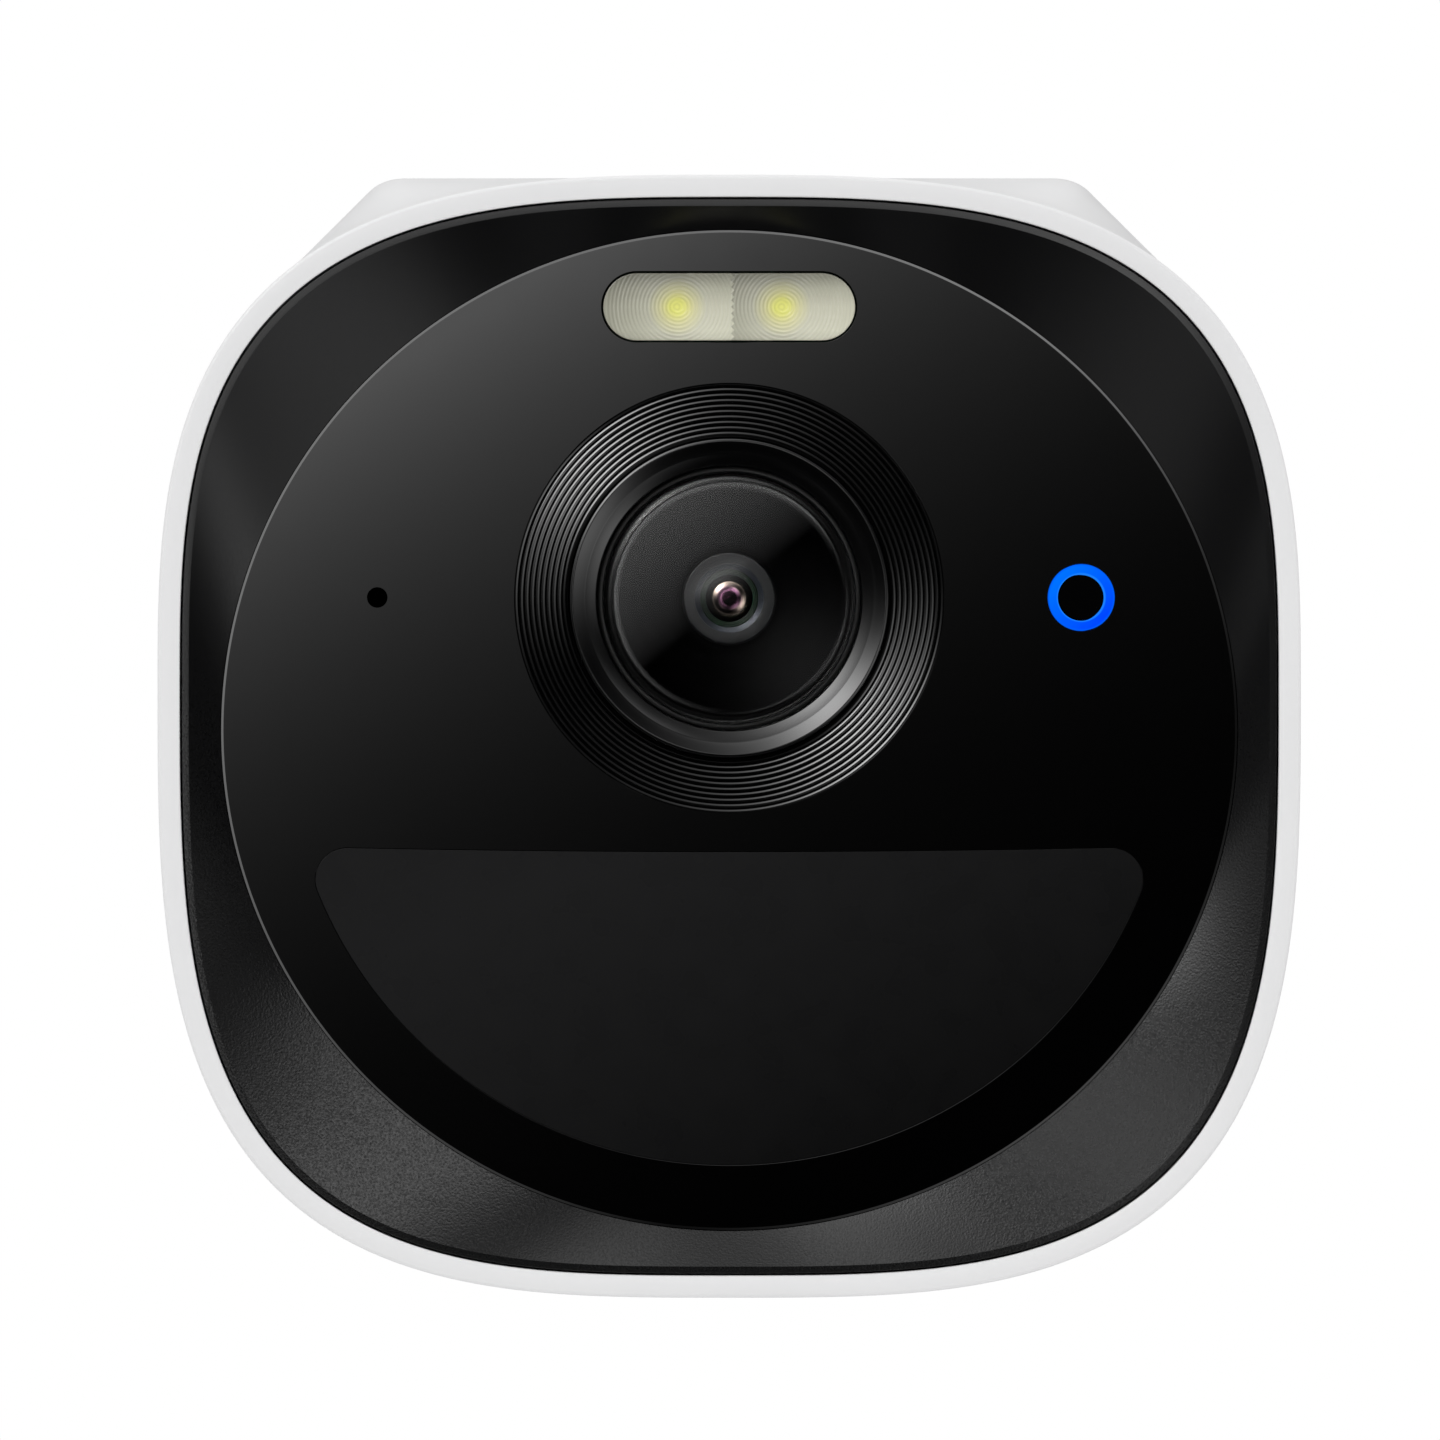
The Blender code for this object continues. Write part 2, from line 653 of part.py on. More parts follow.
def make_filter_slider():
    """Slider with an infrared filter over the sensor and an open window beside it."""
    empty = bpy.data.objects.new("ir_cut_axis", None)
    bpy.context.scene.collection.objects.link(empty)
    empty.parent = bpy.data.objects["camera_frame"]
    empty.location = (0, LENS_UP, 99.1 * MM)
    half_up, half_thick = 4 * MM, 0.5 * MM
    low, high = (-3.3 * MM, -half_up, -half_thick), (8.9 * MM, half_up, half_thick)
    slider = box("ir_cut_frame", "inner_plastic", low, high)
    window, step = 2.5 * MM, 5.6 * MM
    windows = []
    for i, x in enumerate((0, step)):
        low, high = (x - window, -window, -2 * half_thick), (x + window, window, 2 * half_thick)
        windows.append(box(f"filter_window_{i}", None, low, high))
    cut(slider, *windows)
    pane = window - GAP
    thin = 0.3 * MM
    filter_pane = box("ir_cut_filter", "filter_glass", (-pane, -pane, -thin), (pane, pane, thin))
    for piece in (slider, filter_pane, *windows):
        piece.parent = empty


def make_camera_flex():
    """Amber ribbon from the camera board, through the chassis, to the main board's front edge."""
    half, thick = 5 * MM, 0.25 * MM
    bend, bend_steps = 2.0 * MM, 6
    corner_up, corner_forward = -17.2 * MM, 93.1 * MM
    path = [(-4.8 * MM, corner_forward + bend)]  # (up, forward)
    for i in range(bend_steps + 1):
        a = math.pi / 2 * i / bend_steps
        up = corner_up - bend * math.sin(a)
        path.append((up, corner_forward + bend * math.cos(a)))
    path.append((corner_up - bend, 88.4 * MM))
    loops = []
    for i, (up, forward) in enumerate(path):
        before, after = path[max(i - 1, 0)], path[min(i + 1, len(path) - 1)]
        along = Vector((after[0] - before[0], after[1] - before[1])).normalized()
        side = Vector((-along.y, along.x)) * thick / 2
        loops.append(
            [
                (-half, up + side.x, forward + side.y),
                (half, up + side.x, forward + side.y),
                (half, up - side.x, forward - side.y),
                (-half, up - side.x, forward - side.y),
            ]
        )
    loft("camera_flex", "flex_amber", loops, capped=True)


def make_spotlight():
    """Window lens, and the metal-core board with its two LEDs behind it."""
    extruded("spotlight_lens", "spot_lens", pill(), 112.9 * MM, DISC_FRONT)
    board = rounded_rectangle(8.5 * MM, 3.0 * MM, 1 * MM, (0, SPOT_UP - 0.4 * MM))
    extruded("spotlight_board", "board_green", board, 109.6 * MM, 110.8 * MM)
    for side, name in ((-1, "spotlight_led_left"), (1, "spotlight_led_right")):
        x, half = side * SPOT_LED_X, 1.25 * MM
        low, high = (x - half, SPOT_UP - half, 111.1 * MM), (x + half, SPOT_UP + half, 112.1 * MM)
        box(name, "led_yellow", low, high)


def make_front_electronics():
    """Ring-shaped board with the motion sensors, infrared LEDs, microphone and status LED."""
    back, front = 102.0 * MM, 103.2 * MM
    outline = [(x, up) for x, up, _ in body_outline(0, 4.2 * MM)]
    board = extruded("front_board", "board_green", outline, back, front)
    opening = 9.5 * MM
    low = (-opening, LENS_UP - opening, 100 * MM)
    high = (opening, LENS_UP + opening, 105 * MM)
    cut(board, box("board_opening", None, low, high))
    for x, name in ((-8 * MM, "motion_sensor_left"), (8 * MM, "motion_sensor_right")):
        can = [(0, 103.5 * MM), (4.5 * MM, 103.5 * MM), (4.5 * MM, 103.9 * MM)]
        can += [(4.1 * MM, 104.0 * MM), (4.1 * MM, 107.6 * MM), (0, 107.6 * MM)]
        turned(name, "steel", can, SMALL_SEGMENTS, at=(x, -13 * MM, 0))
    for x, name in ((-14.5 * MM, "ir_led_left"), (14.5 * MM, "ir_led_right")):
        half = 1.75 * MM
        low = (x - half, 15 * MM - half, 103.5 * MM)
        high = (x + half, 15 * MM + half, 105.4 * MM)
        box(name, "chip_black", low, high)
    low = (-SIDE_X - 1.9 * MM, SIDE_UP - 1.4 * MM, 103.5 * MM)
    high = (-SIDE_X + 1.9 * MM, SIDE_UP + 1.4 * MM, 104.6 * MM)
    box("microphone", "steel", low, high)
    boot = (1.6 * MM, 0.7 * MM, 104.9 * MM, 111.4 * MM)
    ring("mic_boot", "black_rubber", *boot, centre=(-SIDE_X, SIDE_UP), segments=SMALL_SEGMENTS)


def make_status_light():
    """Blue light pipe ring, its dark core and the LED behind it."""
    centre = (SIDE_X, SIDE_UP)
    front = DISC_FRONT + 0.1 * MM
    pipe = (STATUS_OUTER, STATUS_INNER, 105.2 * MM, front)
    ring("status_light_ring", "status_blue", *pipe, centre=centre, segments=SMALL_SEGMENTS)
    core = STATUS_INNER - GAP
    cylinder("status_light_core", "black_gloss", core, 108 * MM, front, centre)
    half = 0.9 * MM
    low = (SIDE_X - half, SIDE_UP - half, 103.5 * MM)
    high = (SIDE_X + half, SIDE_UP + half, 104.6 * MM)
    box("status_led", "led_yellow", low, high)


def make_motion_window():
    extruded("motion_window", "dark_window", half_moon(), 113.8 * MM, DISC_FRONT - 0.1 * MM)


# ---- power, boards and chassis -----------------------------------------------------------------
def make_chassis():
    """Black inner frame: a front plate and four long posts that the rear screws bite into."""
    outline = [(x, up) for x, up, _ in inner_outline(0, 2.4 * MM)]
    back, front = 92.7 * MM, 94.1 * MM
    chassis = extruded("chassis", "inner_plastic", outline, back, front)
    post_rear = 5.5 * MM
    for i, centre in enumerate(post_centres()):
        post = (POST_RADIUS, post_rear, 93.4 * MM, centre, FEW_SEGMENTS)
        bore = (1.3 * MM, 4 * MM, 17 * MM, centre, FEW_SEGMENTS)
        join(chassis, cylinder(f"post_{i}", None, *post))
        cut(chassis, cylinder(f"post_bore_{i}", None, *bore))
    low, high = (-8 * MM, -22 * MM, 90 * MM), (8 * MM, -16.5 * MM, 96 * MM)
    cut(chassis, box("flex_window", None, low, high))


def cell_centres():
    half = CELL_PITCH / 2
    return [(x, CELLS_UP + up) for up in (half, -half) for x in (-half, half)]


def make_battery():
    """Four round cells in a cradle, joined at both ends by contact plates."""
    cell_front = CELL_REAR + CELL_LENGTH
    button = 0.4 * MM
    for i, (x, up) in enumerate(cell_centres(), start=1):
        profile = [(0, CELL_REAR), (CELL_RADIUS, CELL_REAR), (CELL_RADIUS, cell_front - button)]
        profile += [(3.2 * MM, cell_front - button), (3.0 * MM, cell_front), (0, cell_front)]
        turned(f"battery_cell_{i}", "cell_wrap", profile, SMALL_SEGMENTS, at=(x, up, 0))

    half = 19.9 * MM
    low, high = (-half, CELLS_UP - half, 30 * MM), (half, CELLS_UP + half, 34 * MM)
    cradle = box("battery_cradle", "inner_plastic", low, high)
    low, high = (-half, CELLS_UP - half, 84 * MM), (half, CELLS_UP + half, 88 * MM)
    join(cradle, box("cradle_front", None, low, high))
    low = (-4 * MM, CELLS_UP - half, 32 * MM)
    high = (4 * MM, CELLS_UP - half + 0.8 * MM, 86 * MM)
    join(cradle, box("cradle_rail", None, low, high))
    for i, centre in enumerate(cell_centres()):
        bore = CELL_RADIUS + GAP
        cut(cradle, cylinder(f"cell_bore_{i}", None, bore, 25 * MM, 95 * MM, centre))

    plate = rounded_rectangle(17.5 * MM, 17.5 * MM, 3 * MM, (0, CELLS_UP))
    contact_front = cell_front + GAP
    extruded("contact_plate_front", "steel", plate, contact_front, contact_front + 0.4 * MM)
    contact_rear = CELL_REAR - GAP
    extruded("contact_plate_rear", "steel", plate, contact_rear - 0.4 * MM, contact_rear)


def make_main_board():
    """Main board under the cells, with a shield can below it and an antenna at the side wall."""
    low, high = (-20 * MM, -20.0 * MM, 30 * MM), (20 * MM, -18.6 * MM, 88 * MM)
    box("main_board", "board_green", low, high)
    low, high = (-11 * MM, -22.7 * MM, 33 * MM), (11 * MM, -20.3 * MM, 56 * MM)
    box("shield_can", "steel", low, high)
    low, high = (27.4 * MM, -3 * MM, 30 * MM), (28.2 * MM, 9 * MM, 58 * MM)
    box("antenna", "board_green", low, high)


def make_solar_panel():
    outline = rounded_rectangle(
        SOLAR_HALF, (SOLAR_FRONT - SOLAR_REAR) / 2, 0.6 * MM, (0, (SOLAR_FRONT + SOLAR_REAR) / 2)
    )
    loops = []
    for up in (SOLAR_TOP - SOLAR_THICK, SOLAR_TOP):
        loops.append([(x, up, forward) for x, forward in outline])
    loft("solar_panel", "solar_cells", loops, capped=True)


def make_speaker():
    """Basket with its magnet, the cone that moves in it, and the mesh behind the grille."""
    at, upright = (0, SPEAKER_FACE_UP, SPEAKER_FORWARD), (math.radians(-90), 0, 0)
    basket = [
        (SPEAKER_RADIUS, 0),
        (SPEAKER_RADIUS, 5.0 * MM),
        (0, 5.0 * MM),
    ]
    wall, magnet = 0.8 * MM, 4.5 * MM
    inside = [
        (0, 2.6 * MM),
        (magnet, 2.6 * MM),
        (magnet, 4.2 * MM),
        (SPEAKER_RADIUS - wall, 4.2 * MM),
        (SPEAKER_RADIUS - wall, 0),
    ]
    turned("speaker_basket", "inner_plastic", inside + basket, at=at, turn=upright)
    cone_radius = SPEAKER_RADIUS - wall - 0.5 * MM
    cone = [
        (0, 1.4 * MM),
        (4.0 * MM, 1.4 * MM),
        (cone_radius, 0.8 * MM),
        (cone_radius, 0.5 * MM),
        (4.0 * MM, 1.0 * MM),
        (2.5 * MM, 0.7 * MM),
        (0, 0.6 * MM),
    ]
    turned("speaker_cone", "black_satin", cone, at=at, turn=upright)
    mesh_at = (0, -27.95 * MM, SPEAKER_FORWARD)
    mesh = [(0, 0), (7.5 * MM, 0), (7.5 * MM, GAP), (0, GAP)]
    turned("speaker_mesh", "black_rubber", mesh, SMALL_SEGMENTS, at=mesh_at, turn=upright)


# ---- rear --------------------------------------------------------------------------------------
def make_usb_port():
    """USB-C socket: a metal shell with a tongue inside, its mouth facing back."""
    centre = (0, PORT_UP)
    shell = rounded_rectangle(4.47 * MM, 1.58 * MM, 1.4 * MM, centre)
    inside = rounded_rectangle(4.17 * MM, 1.28 * MM, 1.2 * MM, centre)
    port = extruded("usb_port", "steel", shell, 3.6 * MM, 8.7 * MM)
    cut(port, extruded("usb_cavity", None, inside, 2 * MM, 7.8 * MM))
    low = (-3.35 * MM, PORT_UP - 0.35 * MM, 4.4 * MM)
    high = (3.35 * MM, PORT_UP + 0.35 * MM, 8.2 * MM)
    join(port, box("usb_tongue", None, low, high))


def make_rear_board():
    """Upright board behind the rear wall for the port and the button's switch."""
    low, high = (-14 * MM, -21 * MM, 9.0 * MM), (14 * MM, 21 * MM, 10.2 * MM)
    board = box("rear_board", "board_green", low, high)
    cut(board, cylinder("board_bore", None, 9.4 * MM, 8 * MM, 11 * MM))
    half = 2.6 * MM
    low = (-half, BUTTON_UP - half, 6.2 * MM)
    high = (half, BUTTON_UP + half, 8.7 * MM)
    switch = box("button_switch", "chip_black", low, high)
    centre = (0, BUTTON_UP)
    bore = (1.1 * MM, 5 * MM, 8.1 * MM, centre, FEW_SEGMENTS)
    cut(switch, cylinder("switch_bore", None, *bore))


def make_sync_button():
    """Rear push button: cap, retaining flange behind the wall and stem into the switch."""
    cap, flange, stem = BUTTON_RADIUS, 3.9 * MM, 0.8 * MM
    profile = [
        (0, 0.6 * MM),
        (cap - 0.3 * MM, 0.6 * MM),
        (cap, 0.9 * MM),
        (cap, 3.3 * MM),
        (flange, 3.3 * MM),
        (flange, 4.1 * MM),
        (stem, 4.1 * MM),
        (stem, 7.2 * MM),
        (0, 7.2 * MM),
    ]
    turned("sync_button", "white_rubber", profile, SMALL_SEGMENTS, at=(0, BUTTON_UP, 0))


def make_port_cover():
    """Rubber port cover with a stub for the socket; its origin is on the hinge at one side."""
    hinge = (-PORT_HALF[0], PORT_UP, REAR_FACE)
    inner_face, stub_end = 2.8 * MM, 3.9 * MM
    to_middle = (PORT_HALF[0], 0)
    plate = rounded_rectangle(*PORT_HALF, PORT_CORNER, to_middle)
    back, front = 0, inner_face - REAR_FACE
    cover = extruded("port_cover", "white_rubber", plate, back, front, at=hinge)
    stub = rounded_rectangle(3.6 * MM, 0.95 * MM, 0.8 * MM, to_middle)
    end = stub_end - REAR_FACE
    join(cover, extruded("port_stub", None, stub, front - 0.5 * MM, end, at=hinge))


def make_mount_insert():
    """Brass insert with the blind tripod hole, its mouth in the rear mounting face."""
    profile = [
        (0, THREAD_DEPTH),
        (THREAD_RADIUS, THREAD_DEPTH),
        (THREAD_RADIUS, 0.1 * MM),
        (4.8 * MM, 0.1 * MM),
        (4.8 * MM, 8.5 * MM),
        (0, 8.5 * MM),
    ]
    turned("mount_insert", "brass", profile, SMALL_SEGMENTS)


def make_rear_screws():
    """Four screws through the rear cover into the chassis posts."""
    for i, (x, up) in enumerate(post_centres(), start=1):
        head, shank = 2.2 * MM, 1.0 * MM
        profile = [(0, 1.2 * MM), (head - 0.3 * MM, 1.2 * MM), (head, 1.5 * MM)]
        profile += [(head, 2.3 * MM), (shank, 2.3 * MM), (shank, 15 * MM), (0, 15 * MM)]
        turned(f"rear_screw_{i}", "steel", profile, FEW_SEGMENTS, at=(x, up, 0))


def main():
    clear_scene()
    add_frame()
    make_housing()
    make_rear_cover()
    make_seals()
    make_front_bezel()
    make_face_disc()
    make_lens_rings()
    make_lens_and_sensor()
    make_camera_flex()
    make_spotlight()
    make_front_electronics()
    make_status_light()
    make_motion_window()
    make_chassis()
    make_battery()
    make_main_board()
    make_solar_panel()
    make_speaker()
    make_usb_port()
    make_rear_board()
    make_sync_button()
    make_port_cover()
    make_mount_insert()
    make_rear_screws()
    bpy.context.view_layer.update()


main()
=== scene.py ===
import json
import math

import bmesh
import bpy
import numpy as np
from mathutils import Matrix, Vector, geometry


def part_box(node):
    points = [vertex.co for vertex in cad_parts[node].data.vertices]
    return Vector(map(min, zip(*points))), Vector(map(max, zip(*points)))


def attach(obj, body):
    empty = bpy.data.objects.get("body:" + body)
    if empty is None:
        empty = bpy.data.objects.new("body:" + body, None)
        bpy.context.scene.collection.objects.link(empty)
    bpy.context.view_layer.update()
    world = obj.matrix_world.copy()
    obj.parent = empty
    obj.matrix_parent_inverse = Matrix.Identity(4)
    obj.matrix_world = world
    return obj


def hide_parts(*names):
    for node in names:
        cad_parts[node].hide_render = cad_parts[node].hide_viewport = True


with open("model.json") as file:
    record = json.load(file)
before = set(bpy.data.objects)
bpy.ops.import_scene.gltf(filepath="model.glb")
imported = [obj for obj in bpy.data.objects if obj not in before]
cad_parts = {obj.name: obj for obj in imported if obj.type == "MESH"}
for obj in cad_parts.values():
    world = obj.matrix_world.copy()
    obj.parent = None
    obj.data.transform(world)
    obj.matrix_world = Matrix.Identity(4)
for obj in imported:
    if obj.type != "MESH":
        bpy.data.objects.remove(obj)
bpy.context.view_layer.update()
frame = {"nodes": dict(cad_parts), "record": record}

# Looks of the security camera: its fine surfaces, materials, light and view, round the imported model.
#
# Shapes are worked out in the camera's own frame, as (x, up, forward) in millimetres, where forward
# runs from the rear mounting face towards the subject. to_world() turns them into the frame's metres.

MM = 0.001
MAIN = "camera_body"


def extent(node):
    """Lowest and highest (x, up, forward) of a CAD node, in millimetres."""
    low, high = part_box(node)
    return Vector((low.x, low.z, -high.y)) / MM, Vector((high.x, high.z, -low.y)) / MM


# ---- sizes in mm, read from the frame where it holds them --------------------
RIM = extent("housing")[1].z
HALF_WIDTH = extent("housing")[1].x
HALF_TOP = 27.7  # crown above the widest line
HALF_BOTTOM = 33.2  # belly below the widest line
TOP_POWER = 3.0
BOTTOM_POWER = 3.24
WIDEST_UP = 2.85
DECK_UP = extent("housing")[1].y
DECK_START = RIM - 1.5  # the flat deck grows out of the round outline from here
DECK_FULL = RIM - 15.0  # to here
ROOF_UP = 26.4  # the hollow's top, under the deck
WALL = 2.0
GAP = 0.3  # between the housing and the rear cover

LIP = 1.18  # visible width of the white rim
RIM_STEP = 103.5  # where the housing's wall widens into the rim
BEZEL_EDGE = 1.31  # the bezel's outer edge, this far inside the body outline
BEZEL_RIDGE = 1.69  # its highest line, on the same measure
BEZEL_TOP = RIM - 0.22
BEZEL_SEAT = 113.2  # the shelf behind the face plate
BEZEL_TO_DISC = 0.04  # gap round the face plate

DISC_HALF = 27.57
DISC_HALF_UP = 27.13
DISC_UP = 0.43
DISC_CROWN = 0.5  # height of the face's middle above its edge
FACE = extent("face_disc")[1].z
DISC_TOP = FACE + 0.35
DISC_BACK = extent("face_disc")[0].z

LENS_UP = 7.6
GROOVE_OUTER = 11.6
ELEMENT_RADIUS = 1.26
SPOT_UP = 23.4
SPOT_HALF = 6.84
SPOT_RADIUS = 1.83
SPOT_LED_X = 2.84
SPOT_SEAM = 0.1  # where the lens's two halves meet, beside its middle
SPOT_PITCH = 0.21  # from groove to groove
SIDE_X = 19.1
SIDE_UP = 7.63

WINDOW_HALF = 24.0
WINDOW_HALF_UP = 23.47
WINDOW_DROP = 0.13  # the window's arc is centred this far below the face's centre
WINDOW_TOP = -5.97
WINDOW_SAG = 0.22
WINDOW_CORNER = 1.7

HOUSING_REAR = extent("housing")[0].z
REAR_FACE = 0.8
REAR_FILLET = 4.0
PORT_UP = -15.0
PORT_HALF = (8.5, 5.0)
PORT_CORNER = 2.0
PORT_PLACE = (0, PORT_UP)
BUTTON_PLACE = (0, 16.0)

SHARP = 32  # from this many degrees on, the angle between two faces shows as an edge
MATERIALS = {}

# ---- parts of the studio light: how strong, by degrees off the lens axis -----
CARD_LEVELS = ((0, 1), (5.5, 1), (9, 0))
SCREEN_LEVELS = ((0, 0), (7, 0), (11, 1), (27, 1), (33, 0.35), (38, 0))
FILL_LEVELS = ((0, 0), (24, 0), (28, 1), (36, 1), (42, 0))
EDGE_LEVELS = ((0, 0), (22.5, 0), (24.5, 1), (27, 1), (29, 0))
LAMP_LEVELS = ((0, 0), (36, 0), (41.8, 1), (180, 1))
SIDE_LEVELS = ((0, 0), (50, 0), (55, 1), (69, 1), (79, 0.1), (100, 0.12), (130, 0.35))

# Lamps behind those levels, as (azimuth, tilt, sharpness, strength), with the angles in degrees.
LAMPS = ((134, 49, 28, 8.8), (112, 63, 8, 1.6), (330, 44, 40, 1.8), (350, 44, 40, 0.9))
FILLS = ((55, 31, 40, 4.2), (310, 30, 40, 1.5), (225, 31, 45, 0.3))
LOWER_LAMP = ((318, 21, 45, 0.22),)


# ---- mesh helpers ------------------------------------------------------------
def to_world(points):
    return [(x * MM, -forward * MM, up * MM) for x, up, forward in points]


def turn_faces_outwards(mesh):
    work = bmesh.new()
    work.from_mesh(mesh)
    bmesh.ops.recalc_face_normals(work, faces=work.faces)
    work.to_mesh(mesh)
    work.free()


def piece(name, points, faces, material, body=MAIN, stands_for=(), slot=None, sharp=SHARP, exact=None):
    """A closed mesh riding on a body. exact holds a face count and the true normal of those faces."""
    mesh = bpy.data.meshes.new(name)
    mesh.from_pydata(to_world(points), [], faces)
    turn_faces_outwards(mesh)
    mesh.shade_smooth()
    mesh.set_sharp_from_angle(angle=math.radians(sharp))
    if exact:
        set_exact_normals(mesh, *exact)
    obj = bpy.data.objects.new(name, mesh)
    bpy.context.scene.collection.objects.link(obj)
    if material:
        mesh.materials.append(MATERIALS[material])
        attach(obj, body)
        slot or material
        if stands_for:
            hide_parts(*stands_for)
    return obj


def set_exact_normals(mesh, count, normal):
    """Gives the first faces their surface's true normals, so that gloss reflects without ripples."""
    normals = [tuple(corner.vector) for corner in mesh.corner_normals]
    for face in list(mesh.polygons)[:count]:
        for corner in face.loop_indices:
            at = mesh.vertices[mesh.loops[corner].vertex_index].co / MM
            x, up, forward = normal(at.x, at.z)
            normals[corner] = (x, -forward, up)
    mesh.normals_split_custom_set(normals)


def band(a, b, count):
    """Faces between two rings of this many points, which start at a and b."""
    return [(a + i, a + (i + 1) % count, b + (i + 1) % count, b + i) for i in range(count)]


def skin(loops, closed):
    """Points and faces between loops of equally many points, capped unless closed on itself."""
    count, last = len(loops[0]), len(loops) - 1
    points = [p for loop in loops for p in loop]
    faces = [face for k in range(last) for face in band(k * count, (k + 1) * count, count)]
    if closed:
        return points, faces + band(last * count, 0, count)
    return points, faces + [tuple(range(count)), tuple(range(last * count, (last + 1) * count))]


def loft(name, loops, material, closed=False, **more):
    return piece(name, *skin(loops, closed), material, **more)


def turned(name, profile, material, centre=(0, 0), segments=96, axis="forward", **more):
    """A round piece from (radius, forward) points. Points on the axis become poles."""
    points, faces, rings = [], [], []
    for radius, height in profile:
        rings.append((len(points), radius == 0))
        if radius == 0:
            points.append((0, 0, height))
            continue
        for i in range(segments):
            a = math.tau * (i + 0.5) / segments
            points.append((radius * math.cos(a), radius * math.sin(a), height))
    pairs = list(zip(rings, rings[1:]))
    if profile[0][0] != 0:
        pairs.append((rings[-1], rings[0]))
    for (a, pole_a), (b, pole_b) in pairs:
        if pole_a and not pole_b:
            faces += [(a, b + (i + 1) % segments, b + i) for i in range(segments)]
        elif pole_b and not pole_a:
            faces += [(a + i, a + (i + 1) % segments, b) for i in range(segments)]
        elif not pole_a:
            faces += band(a, b, segments)
    if axis == "up":
        placed = [(centre[0] + x, z, centre[1] + y) for x, y, z in points]
    else:
        placed = [(centre[0] + x, centre[1] + y, z) for x, y, z in points]
    return piece(name, placed, faces, material, **more)


def lens_part(name, profile, material, segments=96, **more):
    """A round piece on the lens axis."""
    return turned(name, profile, material, (0, LENS_UP), segments, **more)


def soften(profile, radius=0.15, steps=4):
    """Rounds the corners of a closed profile of (a, b) points. Corners on the axis stay."""
    made = []
    for i, point in enumerate(profile):
        here = Vector(point)
        if here.x == 0:
            made.append(point)
            continue
        to_before = Vector(profile[i - 1]) - here
        to_after = Vector(profile[(i + 1) % len(profile)]) - here
        reach = min(radius, to_before.length * 0.45, to_after.length * 0.45)
        start = here + to_before.normalized() * reach
        end = here + to_after.normalized() * reach
        for k in range(steps + 1):
            t = k / steps
            made.append(tuple(start * (1 - t) ** 2 + here * 2 * t * (1 - t) + end * t * t))
    return made


def raised(base, *points):
    """Profile points as (radius, height above base)."""
    return [(radius, base + height) for radius, height in points]


def flat_ring(count, radius, centre=(0, 0)):
    """Points of a circle as (x, up)."""
    turns = [math.tau * i / count for i in range(count)]
    return [(centre[0] + radius * math.cos(a), centre[1] + radius * math.sin(a)) for a in turns]


def round_hole(radius, centre, count):
    """A hole's outline as a function of how much larger it is made."""
    return lambda grow: flat_ring(count, radius + grow, centre)


def rounded_rectangle(half_x, half_up, corner, centre=(0, 0), steps=10, straight=1):
    """Rectangle with round corners; straight sides are divided into this many pieces."""
    points = []
    quarters = ((1, 1), (-1, 1), (-1, -1), (1, -1))

    def on_corner(quarter, turn):
        side_x, side_up = quarters[quarter % 4]
        x = side_x * (half_x - corner) + corner * math.cos(turn)
        up = side_up * (half_up - corner) + corner * math.sin(turn)
        return centre[0] + x, centre[1] + up

    for quarter in range(4):
        points += [on_corner(quarter, math.pi / 2 * (quarter + i / steps)) for i in range(steps + 1)]
        x, up = points[-1]
        next_x, next_up = on_corner(quarter + 1, math.pi / 2 * (quarter + 1))
        for k in range(1, straight):
            t = k / straight
            points.append((x * (1 - t) + next_x * t, up * (1 - t) + next_up * t))
    return points


def rectangle(half_x, half_up, corner, centre=(0, 0), steps=4, straight=1):
    """A rounded rectangle as a function of how much larger it is made."""
    return lambda grow=0.0: rounded_rectangle(
        half_x + grow, half_up + grow, corner + grow, centre, steps, straight
    )


def slab(name, outline, back, front, material, edge=0.15, steps=3, **more):
    """A plate from back to front with rounded edges; outline is a function of grow."""
    loops = []
    for depth, way in ((back, 1), (front, -1)):
        arc = []
        for k in range(steps + 1):
            a = math.pi / 2 * k / steps
            grow = -edge * (1 - math.sin(a))
            shift = edge * (1 - math.cos(a))
            arc.append([(x, up, depth + way * shift) for x, up in outline(grow)])
        loops += arc if way == 1 else arc[::-1]
    return loft(name, loops, material, **more)


def block(name, low, high, material, corner=0.3, edge=0.15, **more):
    """A box between two corners, all of its edges rounded."""
    centre = ((low[0] + high[0]) / 2, (low[1] + high[1]) / 2)
    outline = rectangle((high[0] - low[0]) / 2, (high[1] - low[1]) / 2, corner, centre)
    return slab(name, outline, low[2], high[2], material, edge=min(edge, corner * 0.9), **more)


